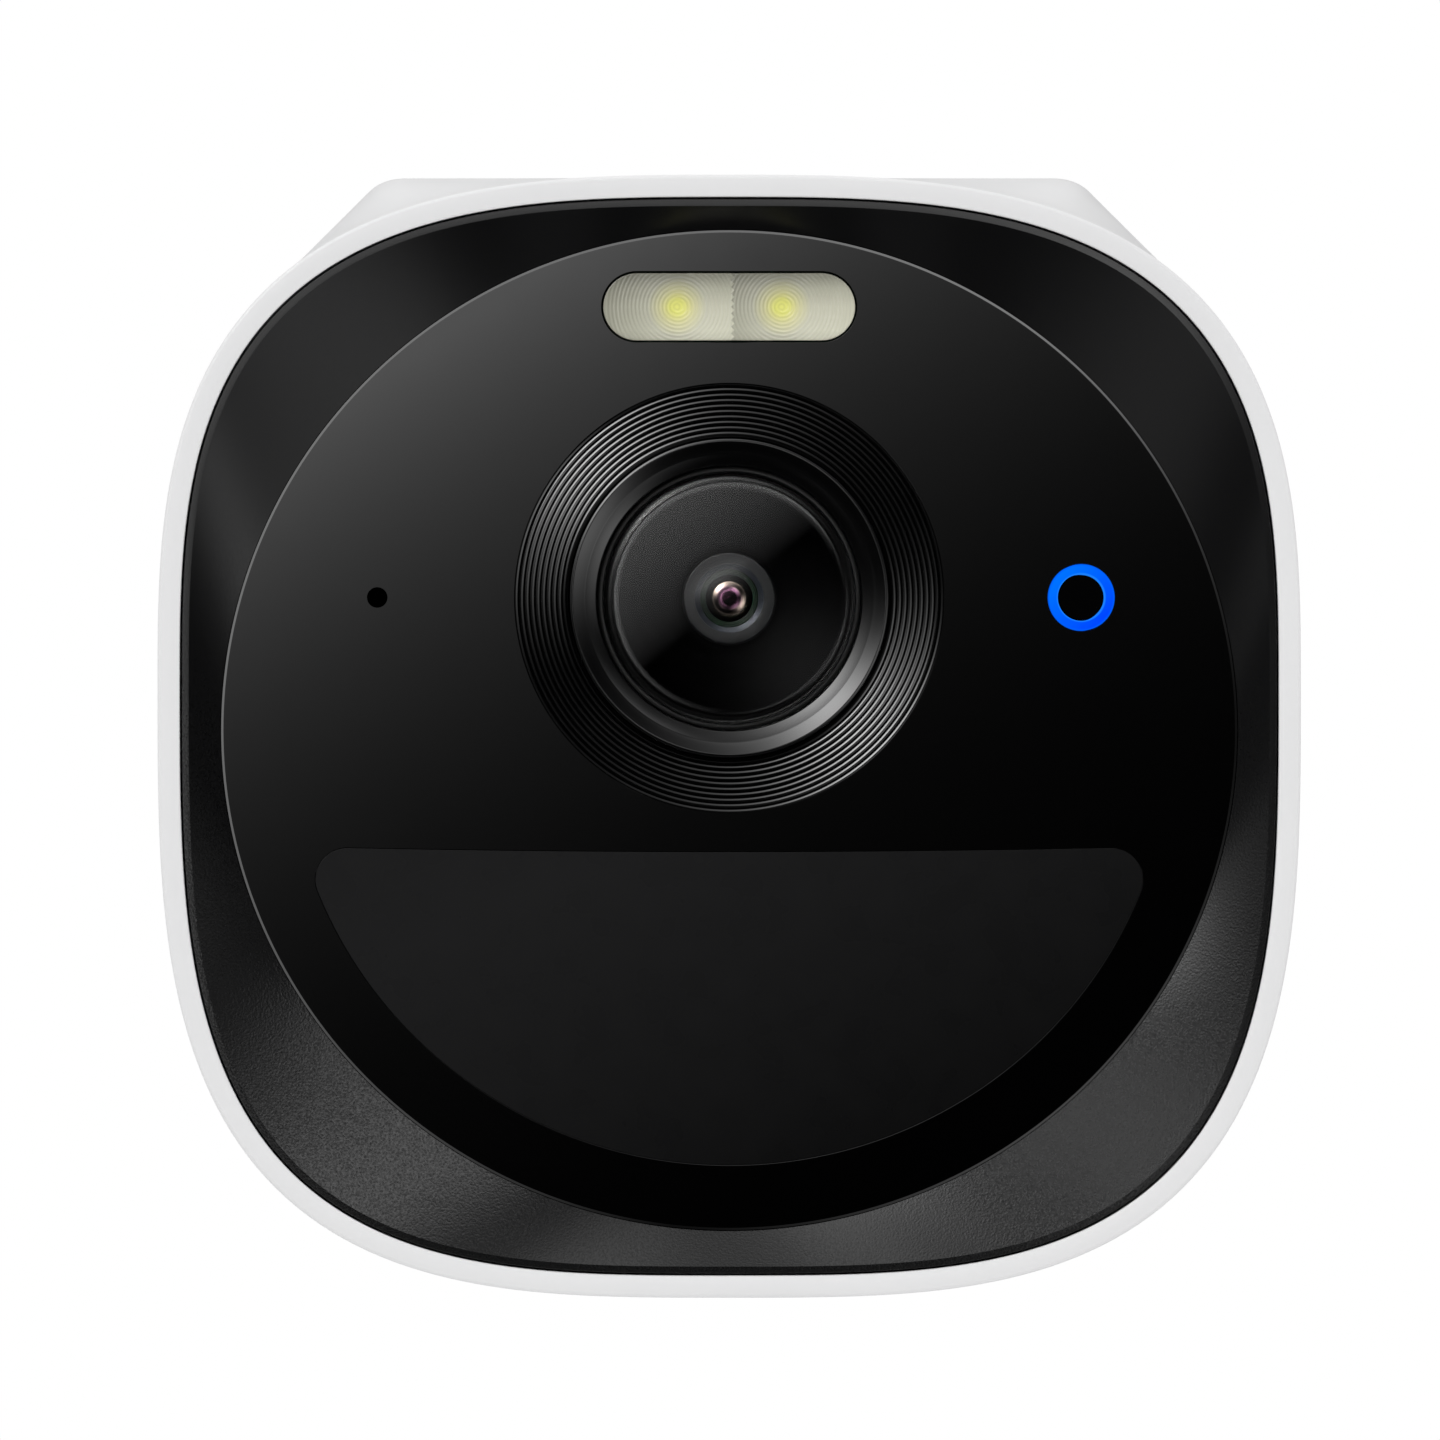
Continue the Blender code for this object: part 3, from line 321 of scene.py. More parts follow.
def plate(
    name, outline, holes, surface, back, edge, spacing, material,
    normal=None, hole_edge=0.02, rounds=4, edge_fall=1.0, **more,
):
    """A closed plate whose front follows surface(x, up), rounded at its outline and its holes.

    outline and every one of holes is a function of grow that gives (x, up) points. edge and hole_edge
    are the radii of the rounding, in this many rounds: one makes a chamfer. edge_fall is the height of
    the outline's rounding over its width.
    """
    rims = [outline, *holes]
    falls = [edge_fall] + [1.0] * len(holes)
    radii = [edge] + [hole_edge] * len(holes)
    ways = [-1] + [1] * len(holes)
    tops = [rim(way * radius) for rim, way, radius in zip(rims, ways, radii)]
    flat, faces = triangulated(tops, inner_grid(tops, spacing))
    points = [(x, up, surface(x, up)) for x, up in flat]
    front_count = len(faces)
    backs, start = [], 0
    for rim, way, radius, fall in zip(rims, ways, radii, falls):
        count = len(rim(0))
        previous = start
        for k in range(1, rounds + 2):
            a = math.pi / 2 * min(k / rounds, 1)
            ring = rim(way * radius * (1 - math.sin(a)))
            first = len(points)
            if k > rounds:
                points += [(x, up, back) for x, up in ring]
            else:
                drop = radius * fall * (1 - math.cos(a))
                points += [(x, up, surface(x, up) - drop) for x, up in ring]
            faces += band(previous, first, count)
            previous = first
        backs.append(range(previous, previous + count))
        start += count
    order = [v for loop in backs for v in loop]
    closing = triangulated([rim(0) for rim in rims], [])[1]
    faces += [tuple(order[v] for v in triangle) for triangle in closing]
    exact = (front_count, normal) if normal else None
    return piece(name, points, faces, material, exact=exact, **more)


def wall_arrays(loops):
    """Start and end points of all the loops' segments."""
    rims = [np.array([tuple(p) for p in loop]) for loop in loops]
    return np.concatenate(rims), np.concatenate([np.roll(rim, -1, axis=0) for rim in rims])


def within(points, loops):
    """Which (x, up) points lie inside the first loop and outside the others."""
    starts, ends = wall_arrays(loops)
    result = []
    for x, up in points:
        crossed = (starts[:, 1] <= up) != (ends[:, 1] <= up)
        a, b = starts[crossed], ends[crossed]
        walls = a[:, 0] + (b[:, 0] - a[:, 0]) * (up - a[:, 1]) / (b[:, 1] - a[:, 1])
        result.append((walls < x).sum() % 2 == 1)
    return result


def inner_grid(loops, spacing):
    """Grid points of this spacing inside the first loop and outside the others, clear of all."""
    starts, _ = wall_arrays(loops)
    low, high = starts.min(0), starts.max(0)
    across = np.arange(low[0] + spacing / 2, high[0], spacing)
    kept = []
    for up in np.arange(low[1] + spacing / 2, high[1], spacing):
        row = np.array([(x, up) for x in across])
        row = row[within(row, loops)]
        near = starts[np.abs(starts[:, 1] - up) < spacing]
        if len(near) and len(row):
            gaps = np.linalg.norm(row[:, None] - near[None], axis=2).min(1)
            row = row[gaps > 0.5 * spacing]
        kept += [tuple(p) for p in row]
    return kept


def triangulated(loops, inner):
    """Points (the loops', then the inner ones) and the triangles between them, holes left open."""
    points = [tuple(p) for loop in loops for p in loop] + inner
    edges, start = [], 0
    for loop in loops:
        edges += [(start + i, start + (i + 1) % len(loop)) for i in range(len(loop))]
        start += len(loop)
    _, _, found, origins, _, _ = geometry.delaunay_2d_cdt([Vector(p) for p in points], edges, [], 0, 1e-7)
    triangles = [tuple(origins[v][0] for v in triangle) for triangle in found]
    middles = [np.mean([points[v] for v in triangle], axis=0) for triangle in triangles]
    return points, [t for t, inside in zip(triangles, within(middles, loops)) if inside]


def combine(target, operation, tools, sharp):
    """Adds the tools' shapes to target or takes them away, and leaves a plain mesh."""
    for tool in tools:
        modifier = target.modifiers.new(operation.lower(), "BOOLEAN")
        modifier.operation = operation
        modifier.solver = "EXACT"
        modifier.object = tool
    graph = bpy.context.evaluated_depsgraph_get()
    made = bpy.data.meshes.new_from_object(target.evaluated_get(graph))
    target.modifiers.clear()
    target.data = made
    made.set_sharp_from_angle(angle=math.radians(sharp))
    for tool in tools:
        bpy.data.objects.remove(tool)


def cut(target, *tools, sharp=SHARP):
    combine(target, "DIFFERENCE", tools, sharp)


def join(target, *tools, sharp=SHARP):
    combine(target, "UNION", tools, sharp)


def tool_slab(outline, back, front):
    loops = [[(x, up, depth) for x, up in outline] for depth in (back, front)]
    return loft("tool", loops, None)


# ---- body outline ------------------------------------------------------------
def spaced(start, end, count):
    return [start + (end - start) * i / count for i in range(count)]


def smooth_step(t):
    return t * t * (3 - 2 * t)


def shoulder_point():
    """Where a 45 degree line touches the round upper outline, from the middle of the widest line."""
    dual = TOP_POWER / (TOP_POWER - 1)
    reach = (HALF_WIDTH**dual + HALF_TOP**dual) ** (1 / dual)
    return Vector((HALF_WIDTH**dual, HALF_TOP**dual)) / reach ** (dual - 1)


def deck_corner():
    foot = shoulder_point()
    top = DECK_UP - WIDEST_UP
    return Vector((foot.x + foot.y - top, top))


def outline_angles():
    """Directions of the outline's points, closer together round the deck's edges."""
    foot, corner = shoulder_point(), deck_corner()
    shoulder, edge = math.atan2(foot.y, foot.x), math.atan2(corner.y, corner.x)
    near = 0.035
    quarter = spaced(0, shoulder, 40) + spaced(shoulder, edge - near, 14)
    quarter += spaced(edge - near, edge + near, 14) + spaced(edge + near, math.pi / 2, 26)
    top = quarter + [math.pi / 2] + [math.pi - a for a in reversed(quarter[1:])]
    return top + spaced(math.pi, math.tau, 150), shoulder


def superellipse_point(angle, inset):
    """Point of the round body outline in this direction, moved inwards along its normal."""
    c, s = math.cos(angle), math.sin(angle)
    half_up, power = (HALF_TOP, TOP_POWER) if s >= 0 else (HALF_BOTTOM, BOTTOM_POWER)
    share = (abs(c) / HALF_WIDTH) ** power + (abs(s) / half_up) ** power
    radius = share ** (-1 / power)
    point = Vector((radius * c, radius * s))
    slope_x = math.copysign((abs(point.x) / HALF_WIDTH) ** (power - 1) / HALF_WIDTH, c)
    slope_up = math.copysign((abs(point.y) / half_up) ** (power - 1) / half_up, s)
    return point - inset * Vector((slope_x, slope_up)).normalized()


def soft_min(a, b, width):
    """The smaller of two lengths, with a rounded change from one to the other."""
    h = max(width - abs(a - b), 0) / width
    return min(a, b) - h * h * width / 4


def deck_point(angle):
    """Point of the flat deck or its flank in this direction, the edge between them rounded."""
    ray = Vector((abs(math.cos(angle)), math.sin(angle)))
    corner = deck_corner()
    reach = soft_min(corner.y / ray.y, (corner.x + corner.y) / (ray.x + ray.y), 0.9)
    return Vector((math.copysign(ray.x, math.cos(angle)), ray.y)) * reach


def body_outline(forward, inset=0.0, deck=0.0, roof=None, shrink=0.0):
    """The body's cross-section at one forward distance."""
    angles, shoulder = outline_angles()
    points = []
    for angle in angles:
        point = superellipse_point(angle, inset)
        if deck and shoulder < angle < math.pi - shoulder:
            point = point.lerp(deck_point(angle), deck)
        point -= point.normalized() * shrink
        up = point.y + WIDEST_UP
        points.append((point.x, min(up, roof) if roof else up, forward))
    return points


def inner_outline(forward, inset=WALL):
    return body_outline(forward, inset, roof=ROOF_UP - (inset - WALL))


def face_outline(grow, angles=None):
    """The face's elliptical edge as (x, up), made larger by grow."""
    angles = angles or [math.tau * i / 300 for i in range(300)]
    half, half_up = DISC_HALF + grow, DISC_HALF_UP + grow
    return [(half * math.cos(a), DISC_UP + half_up * math.sin(a)) for a in angles]


pill = rectangle(SPOT_HALF, SPOT_RADIUS, SPOT_RADIUS - 1e-4, (0, SPOT_UP), 16, 60)


def half_moon(grow=0.0):
    """Outline of the motion window: an arc, two round corners and a sagging top."""
    radius = WINDOW_HALF_UP + grow
    widen = (WINDOW_HALF + grow) / radius
    centre_up = DISC_UP - WINDOW_DROP
    corner = WINDOW_CORNER + grow
    top = WINDOW_TOP + grow - centre_up
    corner_up = top - corner
    corner_x = math.sqrt((radius - corner) ** 2 - corner_up**2)
    side = math.atan2(corner_up, corner_x)
    right = [
        (corner_x + corner * math.cos(a), corner_up + corner * math.sin(a))
        for a in spaced(math.pi / 2, side, 16)
    ]
    left = [(-x, up) for x, up in reversed(right)]
    arc = [
        (radius * math.cos(a), radius * math.sin(a))
        for a in spaced(side, -math.pi - side, 120) + [-math.pi - side]
    ]
    across = [t / 20 for t in range(-19, 20)]
    upper = [(corner_x * t, top - WINDOW_SAG * (1 - t * t)) for t in across]
    return [(x * widen, up + centre_up) for x, up in right + arc + left + upper]


def crown(x, up):
    """Height of the domed face plate's front."""
    share = (x / DISC_HALF) ** 2 + ((up - DISC_UP) / DISC_HALF_UP) ** 2
    return DISC_TOP - DISC_CROWN * share


def crown_normal(x, up):
    slope_x = 2 * DISC_CROWN * x / DISC_HALF**2
    slope_up = 2 * DISC_CROWN * (up - DISC_UP) / DISC_HALF_UP**2
    return Vector((slope_x, slope_up, 1)).normalized()


# ---- materials ---------------------------------------------------------------
def feed(tree, node, inputs):
    """Links or sets a node's inputs."""
    for key, value in inputs.items():
        if isinstance(value, bpy.types.NodeSocket):
            tree.links.new(value, node.inputs[key])
        else:
            node.inputs[key].default_value = value
    return node


def add(tree, kind, inputs=None, **settings):
    """A shader node with its settings, values and links."""
    node = tree.nodes.new("ShaderNode" + kind)
    for key, value in settings.items():
        setattr(node, key, value)
    return feed(tree, node, inputs or {})


def sums(tree, operation, *values):
    """The output of a Math node."""
    return add(tree, "Math", dict(enumerate(values)), operation=operation).outputs[0]


def dot(tree, a, b):
    return add(tree, "VectorMath", {0: a, 1: b}, operation="DOT_PRODUCT").outputs["Value"]


def distance(tree, x, up):
    pair = add(tree, "CombineXYZ", {"X": x, "Y": up}).outputs["Vector"]
    return add(tree, "VectorMath", {0: pair}, operation="LENGTH").outputs["Value"]


def off_axis(tree, place, centre_x, centre_up):
    """How far a place lies beside and above an axis that runs along the camera."""
    axes = add(tree, "SeparateXYZ", {"Vector": place}).outputs
    x = sums(tree, "SUBTRACT", axes["X"], centre_x * MM)
    return x, sums(tree, "SUBTRACT", axes["Z"], centre_up * MM)


def ramp(tree, factor, stops):
    """Colour along a factor, from (position, colour) stops."""
    node = add(tree, "ValToRGB", {"Fac": factor})
    elements = node.color_ramp.elements
    while len(elements) < len(stops):
        elements.new(0.5)
    for element, (position, colour) in zip(elements, stops):
        element.position = position
        element.color = (*colour, 1.0)
    return node.outputs["Color"]


def grey(tree, factor, stops):
    return ramp(tree, factor, [(position, (level,) * 3) for position, level in stops])


def two_tone(tree, factor, dark, light):
    """Two colours that a noise factor mixes."""
    return ramp(tree, factor, ((0.3, dark), (0.7, light)))


def new_material(name):
    """A new material's node tree, its shader and the piece's own coordinates."""
    made = bpy.data.materials.new(name)
    made.use_nodes = True
    MATERIALS[name] = made
    tree = made.node_tree
    return tree, tree.nodes["Principled BSDF"], add(tree, "TexCoord").outputs["Object"]


def noise(tree, place, size, detail=2.0, roughness=0.5):
    inputs = {"Vector": place, "Scale": 1 / (size * MM), "Detail": detail, "Roughness": roughness}
    return add(tree, "TexNoise", inputs).outputs["Fac"]


def mapped(tree, value, low, high, to_low=0.0, to_high=1.0):
    """A value moved from one range onto another, and kept in it."""
    inputs = {"Value": value, "From Min": low, "From Max": high, "To Min": to_low, "To Max": to_high}
    return add(tree, "MapRange", inputs).outputs["Result"]


def spread(tree, factor, low, high):
    """Maps a noise factor onto a range."""
    return mapped(tree, factor, 0.25, 0.75, low, high)


def bumped(tree, shader, height, depth):
    bump = add(tree, "Bump", {"Height": height, "Distance": depth * MM, "Strength": 1.0})
    tree.links.new(bump.outputs["Normal"], shader.inputs["Normal"])


def moulded(name, colour, roughness, grain=0.2, depth=0.003, tint=0.04, scatter=0.03, **fixed):
    """A surface with a fine grain, a slow drift in colour and uneven roughness."""
    tree, shader, place = new_material(name)
    dark = [c * (1 - tint) for c in colour]
    light = [min(c * (1 + tint), 1.0) for c in colour]
    drift = two_tone(tree, noise(tree, place, 9.0, detail=3.0), dark, light)
    rough = spread(tree, noise(tree, place, 3.0), roughness - scatter, roughness + scatter)
    feed(tree, shader, {"Base Color": drift, "Roughness": rough})
    feed(tree, shader, {key.replace("_", " "): value for key, value in fixed.items()})
    bumped(tree, shader, noise(tree, place, grain), depth)


def make_materials():
    moulded(
        "white_shell", (0.745, 0.745, 0.75), 0.42, grain=0.3, depth=0.004, tint=0.008,
        Specular_IOR_Level=0.35,
    )
    moulded("white_rubber", (0.70, 0.70, 0.71), 0.62, grain=0.12, depth=0.004, tint=0.015)
    grained_satin()
    moulded("black_gloss", (0.0002, 0.0002, 0.00022), 0.03, grain=6.0, depth=0.0, scatter=0.01)
    moulded("black_turned", (0.0012, 0.0012, 0.0013), 0.12, grain=0.08, depth=0.0005, scatter=0.03)
    moulded("black_ridged", (0.0012, 0.0012, 0.0013), 0.10, grain=0.08, depth=0.0005, Specular_IOR_Level=0.75)
    moulded("black_rubber", (0.012, 0.012, 0.012), 0.75, grain=0.1, depth=0.006, tint=0.15)
    moulded("black_matt", (0.001, 0.001, 0.0011), 0.8, tint=0.1, Specular_IOR_Level=0.0)
    moulded("inner_plastic", (0.045, 0.045, 0.048), 0.55, grain=0.2, depth=0.008, tint=0.1)
    moulded("chip_black", (0.018, 0.018, 0.019), 0.5, grain=0.08, depth=0.004, tint=0.15)
    moulded("led_yellow", (0.85, 0.80, 0.16), 0.5, grain=0.06, depth=0.004, tint=0.06)
    moulded("flex_amber", (0.42, 0.17, 0.02), 0.3, grain=0.5, depth=0.004, tint=0.12)
    moulded("cell_wrap", (0.06, 0.22, 0.46), 0.32, grain=1.5, depth=0.02, tint=0.05)
    moulded("cream_label", (0.62, 0.60, 0.52), 0.6, grain=0.2, depth=0.002, tint=0.04)
    moulded("copper_pad", (0.85, 0.62, 0.25), 0.3, grain=0.2, depth=0.002, tint=0.1, Metallic=1.0)
    moulded("nozzle_grey", (0.006, 0.007, 0.008), 0.4, grain=0.08, depth=0.002, tint=0.1)
    moulded("nozzle_blue", (0.028, 0.034, 0.045), 0.25, grain=0.08, depth=0.0005, tint=0.1, Metallic=0.3)
    moulded("nozzle_green", (0.004, 0.02, 0.008), 0.3, grain=0.08, depth=0.001, tint=0.1)
    metal("steel", (0.58, 0.58, 0.60), 0.26)
    metal("brass", (0.72, 0.53, 0.24), 0.24)
    clear("clear_glass", (1.0, 1.0, 1.0), 1.33)
    clear("filter_glass", (0.45, 0.8, 0.85), 1.5)
    coated_lens()
    window_material()
    spot_material()
    status_material()
    board_material()
    solar_material()


def grained_satin():
    """Black plastic with the fine speckle of a spark-eroded mould, stronger in the lower half."""
    tree, shader, place = new_material("black_satin")
    strength = mapped(tree, off_axis(tree, place, 0, 0)[1], 12 * MM, -8 * MM, 0.1, 1.0)
    speckle = sums(tree, "SUBTRACT", noise(tree, place, 0.12, detail=1.0), 0.5)
    grain = sums(tree, "MULTIPLY", speckle, strength)
    dark, light = (0.0008, 0.0008, 0.0009), (0.0064, 0.0064, 0.0067)
    feed(tree, shader, {
        "Base Color": two_tone(tree, sums(tree, "ADD", grain, 0.5), dark, light),
        "Roughness": sums(tree, "MULTIPLY_ADD", grain, -0.5, 0.22),
        "Specular IOR Level": 0.28,
    })
    bumped(tree, shader, grain, 0.01)


def metal(name, colour, roughness):
    """Plated or turned metal, with fine lines along the camera's length."""
    tree, shader, place = new_material(name)
    stretch = add(tree, "Mapping", {"Vector": place, "Scale": (1.0, 0.06, 1.0)}).outputs["Vector"]
    lines = noise(tree, stretch, 0.15, detail=4.0)
    feed(tree, shader, {
        "Base Color": two_tone(tree, lines, [c * 0.85 for c in colour], colour),
        "Roughness": spread(tree, lines, roughness - 0.06, roughness + 0.1),
        "Metallic": 1.0,
    })
    bumped(tree, shader, lines, 0.002)


def clear(name, colour, ior):
    tree, shader, place = new_material(name)
    film = noise(tree, place, 5.0)
    feed(tree, shader, {
        "Base Color": two_tone(tree, film, [c * 0.985 for c in colour], colour),
        "Roughness": spread(tree, film, 0.0, 0.012),
        "IOR": ior,
        "Transmission Weight": 1.0,
    })


def coated_lens():
    """Front element: dark glass with a coating that turns purple, pink and then cream outwards."""
    tree, shader, place = new_material("lens_coating")
    far = distance(tree, *off_axis(tree, place, 0, LENS_UP))
    purple, pink, cream = (0.022, 0.007, 0.016), (0.16, 0.075, 0.125), (0.4, 0.32, 0.27)
    dull, dark = (0.2, 0.17, 0.13), (0.012, 0.02, 0.01)
    stops = ((0.0, purple), (0.28, purple), (0.44, pink), (0.62, cream), (0.79, dull), (0.97, dark))
    feed(tree, shader, {
        "Base Color": ramp(tree, sums(tree, "DIVIDE", far, ELEMENT_RADIUS * MM), stops),
        "Roughness": spread(tree, noise(tree, place, 0.4), 0.04, 0.1),
        "Metallic": 1.0,
    })


def window_material():
    """Dark tinted plastic with painted light: a little lighter towards its upper left, where the key lamp
    falls.
    """
    tree, shader, place = new_material("dark_window")
    # Painted light and shade: the colour grows lighter towards the upper left and darker towards the lower
    # right.
    low, high = (DISC_UP - WINDOW_HALF_UP) * MM, (WINDOW_TOP + 3.0) * MM
    share = mapped(tree, dot(tree, place, (-0.42, 0.0, 0.91)), low, high)
    painted_shade_colour, top = (0.0022, 0.0022, 0.0023), (0.0095, 0.0095, 0.0098)
    feed(tree, shader, {
        "Base Color": ramp(tree, share, ((0.0, painted_shade_colour), (1.0, top))),
        "Roughness": spread(tree, noise(tree, place, 2.0), 0.25, 0.32),
        "Specular IOR Level": 0.1,
    })
    bumped(tree, shader, noise(tree, place, 0.12), 0.001)


def product(tree, *colours):
    """Colours multiplied with each other."""
    made = colours[0]
    for colour in colours[1:]:
        inputs = {"Fac": 1.0, "Color1": made, "Color2": colour}
        made = add(tree, "MixRGB", inputs, blend_type="MULTIPLY").outputs["Color"]
    return made


def spot_material():
    """Milky Fresnel lens over two phosphor squares, whose yellow shows through round each LED.

    Each half is painted darker to its left and at its top, as painted shade, its rings show as
    painted light and dark lines, and the two halves meet in a toothed seam.
    """
    tree, shader, place = new_material("spot_lens")
    x, up = off_axis(tree, place, 0, SPOT_UP)
    teeth = sums(tree, "PINGPONG", up, 0.18 * MM)
    past_seam = sums(tree, "GREATER_THAN", sums(tree, "SUBTRACT", x, teeth), SPOT_SEAM * MM)
    led = sums(tree, "MULTIPLY_ADD", past_seam, 2 * SPOT_LED_X * MM, -SPOT_LED_X * MM)
    across = sums(tree, "SUBTRACT", x, led)
    far = distance(tree, across, up)
    phosphor, glow, halo = (0.74, 0.74, 0.20), (0.68, 0.66, 0.27), (0.62, 0.60, 0.34)
    milk = (0.52, 0.515, 0.41)
    stops = ((0.0, phosphor), (0.09, phosphor), (0.15, glow), (0.22, halo), (0.38, milk))
    colour = ramp(tree, sums(tree, "DIVIDE", far, 4.2 * MM), stops)
    # Painted shade: each half is darker to its left and towards its top, and lighter to its right and near
    # its bottom.
    over_width = mapped(tree, across, -3.7 * MM, 3.7 * MM)
    painted_side_shade = grey(tree, over_width, ((0, 0.6), (0.3, 0.88), (0.5, 1), (0.7, 1.1)))
    over_height = mapped(tree, up, -SPOT_RADIUS * MM, SPOT_RADIUS * MM)
    painted_top_shade = grey(tree, over_height, ((0, 0.95), (0.15, 1.1), (0.5, 1), (0.77, 0.74), (0.95, 0.42)))
    # Painted light and shade: lighter and darker lines along the lens rings.
    turn = sums(tree, "SINE", sums(tree, "MULTIPLY", far, math.tau / (SPOT_PITCH * MM)))
    painted_ring_lines = sums(tree, "MULTIPLY_ADD", turn, 0.06, 0.97)
    feed(tree, shader, {
        "Base Color": product(tree, colour, painted_side_shade, painted_top_shade, painted_ring_lines),
        "Roughness": spread(tree, noise(tree, place, 0.6), 0.12, 0.2),
    })
    bumped(tree, shader, noise(tree, place, 0.1), 0.0004)


def status_material():
    """Light pipe lit from behind, brighter along its inner edge and towards its upper left."""
    tree, shader, place = new_material("status_blue")
    x, up = off_axis(tree, place, SIDE_X, SIDE_UP)
    share = mapped(tree, distance(tree, x, up), 1.25 * MM, 1.8 * MM)
    inner, edge = (0.012, 0.22, 0.95), (0.0, 0.10, 0.75)
    light_blue, deep_blue = (0.0, 0.142, 1.0), (0.0, 0.041, 1.0)
    near, deep = (
        ramp(tree, share, ((0.0, inner), (0.06, inner), (0.2, blue), (0.8, blue), (1.0, edge)))
        for blue in (light_blue, deep_blue)
    )
    lean = mapped(tree, sums(tree, "SUBTRACT", up, x), -2.2 * MM, 2.2 * MM)
    lit = add(tree, "MixRGB", {"Fac": lean, "Color1": deep, "Color2": near}).outputs["Color"]
    feed(tree, shader, {
        "Base Color": two_tone(tree, noise(tree, place, 0.5), (0.0, 0.02, 0.2), (0.0, 0.03, 0.28)),
        "Roughness": 0.35,
        "Specular IOR Level": 0.0,
        "Emission Color": lit,
        "Emission Strength": 1.0,
    })


def board_material():
    """Green solder mask over faint tracks."""
    tree, shader, place = new_material("board_green")
    cells = add(tree, "TexVoronoi", {"Vector": place, "Scale": 1 / (2.4 * MM)}, distance="CHEBYCHEV")
    far = cells.outputs["Distance"]
    track, mask = (0.008, 0.085, 0.03), (0.015, 0.15, 0.055)
    feed(tree, shader, {
        "Base Color": ramp(tree, far, ((0.30, track), (0.36, mask))),
        "Roughness": spread(tree, noise(tree, place, 1.5), 0.3, 0.42),
    })
    bumped(tree, shader, far, 0.02)


def solar_material():
    """Blue-black silicon with crystal-like shifts, under a clear sheet."""
    tree, shader, place = new_material("solar_cells")
    shards = add(tree, "TexVoronoi", {"Vector": place, "Scale": 1 / (3.0 * MM)})
    shift = add(tree, "SeparateXYZ", {"Vector": shards.outputs["Color"]}).outputs["X"]
    deep, blue = (0.004, 0.006, 0.018), (0.008, 0.014, 0.04)
    feed(tree, shader, {
        "Base Color": ramp(tree, shift, ((0.0, deep), (1.0, blue))),
        "Roughness": spread(tree, noise(tree, place, 4.0), 0.1, 0.16),
        "Coat Weight": 0.6,
        "Coat Roughness": 0.06,
    })


def finish_cad_nodes():
    """Every CAD node that stays visible gets its slot's procedural material."""
    for part in frame["record"]["subparts"]:
        node = frame["nodes"][part["node"]]
        material = MATERIALS[part["material_slot"]]
        if not node.material_slots:
            node.data.materials.append(material)
        for slot in node.material_slots:
            slot.material = material


# ---- shell -------------------------------------------------------------------
def make_housing():
    """White sleeve: rounded rim in front, flat deck with the solar pocket, speaker holes below."""
    loops = []
    edge, steps = 0.22, 5
    for k in range(steps + 1):
        a = math.pi / 2 * k / steps
        loops.append(body_outline(RIM - edge * (1 - math.cos(a)), inset=edge * (1 - math.sin(a))))
    loops.append(body_outline(DECK_START))
    transition = 18
    for i in range(1, transition + 1):
        t = i / transition
        forward = DECK_START + (DECK_FULL - DECK_START) * t
        loops.append(body_outline(forward, deck=smooth_step(t)))
    for forward in spaced(DECK_FULL, HOUSING_REAR + 0.3, 22)[1:]:
        loops.append(body_outline(forward, deck=1))
    loops += [
        body_outline(HOUSING_REAR + 0.3, deck=1),
        body_outline(HOUSING_REAR + 0.1, deck=1, shrink=0.06),
        body_outline(HOUSING_REAR, deck=1, shrink=0.25),
        inner_outline(HOUSING_REAR),
        inner_outline(RIM_STEP),
        body_outline(RIM_STEP, LIP + 0.02),
        body_outline(RIM - 0.1, LIP + 0.02),
        body_outline(RIM - 0.03, LIP - 0.02),
        body_outline(RIM, LIP - 0.1),
    ]
    housing = loft("housing_shell", loops, "white_shell", closed=True, stands_for=["housing"])
    low, high = extent("solar_panel")
    room = 0.15
    half_x, half_along = (high.x - low.x) / 2 + room, (high.z - low.z) / 2 + room
    pocket = tool_slab(rounded_rectangle(half_x, half_along, 0.8), low.y - 0.4, DECK_UP + 2)
    lay_flat(pocket, (low.z + high.z) / 2)
    cut(housing, pocket, speaker_hole_pins())


def lay_flat(obj, forward):
    """Turns a tool made in the (x, up) plane so that its depth runs upwards, centred at forward."""
    for v in obj.data.vertices:
        x, y, z = v.co
        v.co = (x, -forward * MM - z, -y)
    turn_faces_outwards(obj.data)


def hexagon_pattern(rings, pitch):
    centres = []
    for row in range(-rings, rings + 1):
        across = 2 * rings + 1 - abs(row)
        for i in range(across):
            centres.append(((i - (across - 1) / 2) * pitch, row * pitch * math.sqrt(3) / 2))
    return centres


def speaker_hole_pins():
    """Nineteen pins in a hexagonal pattern under the speaker, in one object."""
    low, high = extent("speaker_cone")
    middle = (low.z + high.z) / 2
    points, faces = [], []
    for centre_x, along in hexagon_pattern(rings=2, pitch=2.2):
        ring = flat_ring(24, 0.6, (centre_x, middle + along))
        ends = [[(x, up, forward) for x, forward in ring] for up in (-34.0, -26.5)]
        pin, pin_faces = skin(ends, False)
        faces += [tuple(len(points) + v for v in face) for face in pin_faces]
        points += pin
    return piece("tool", points, faces, None)


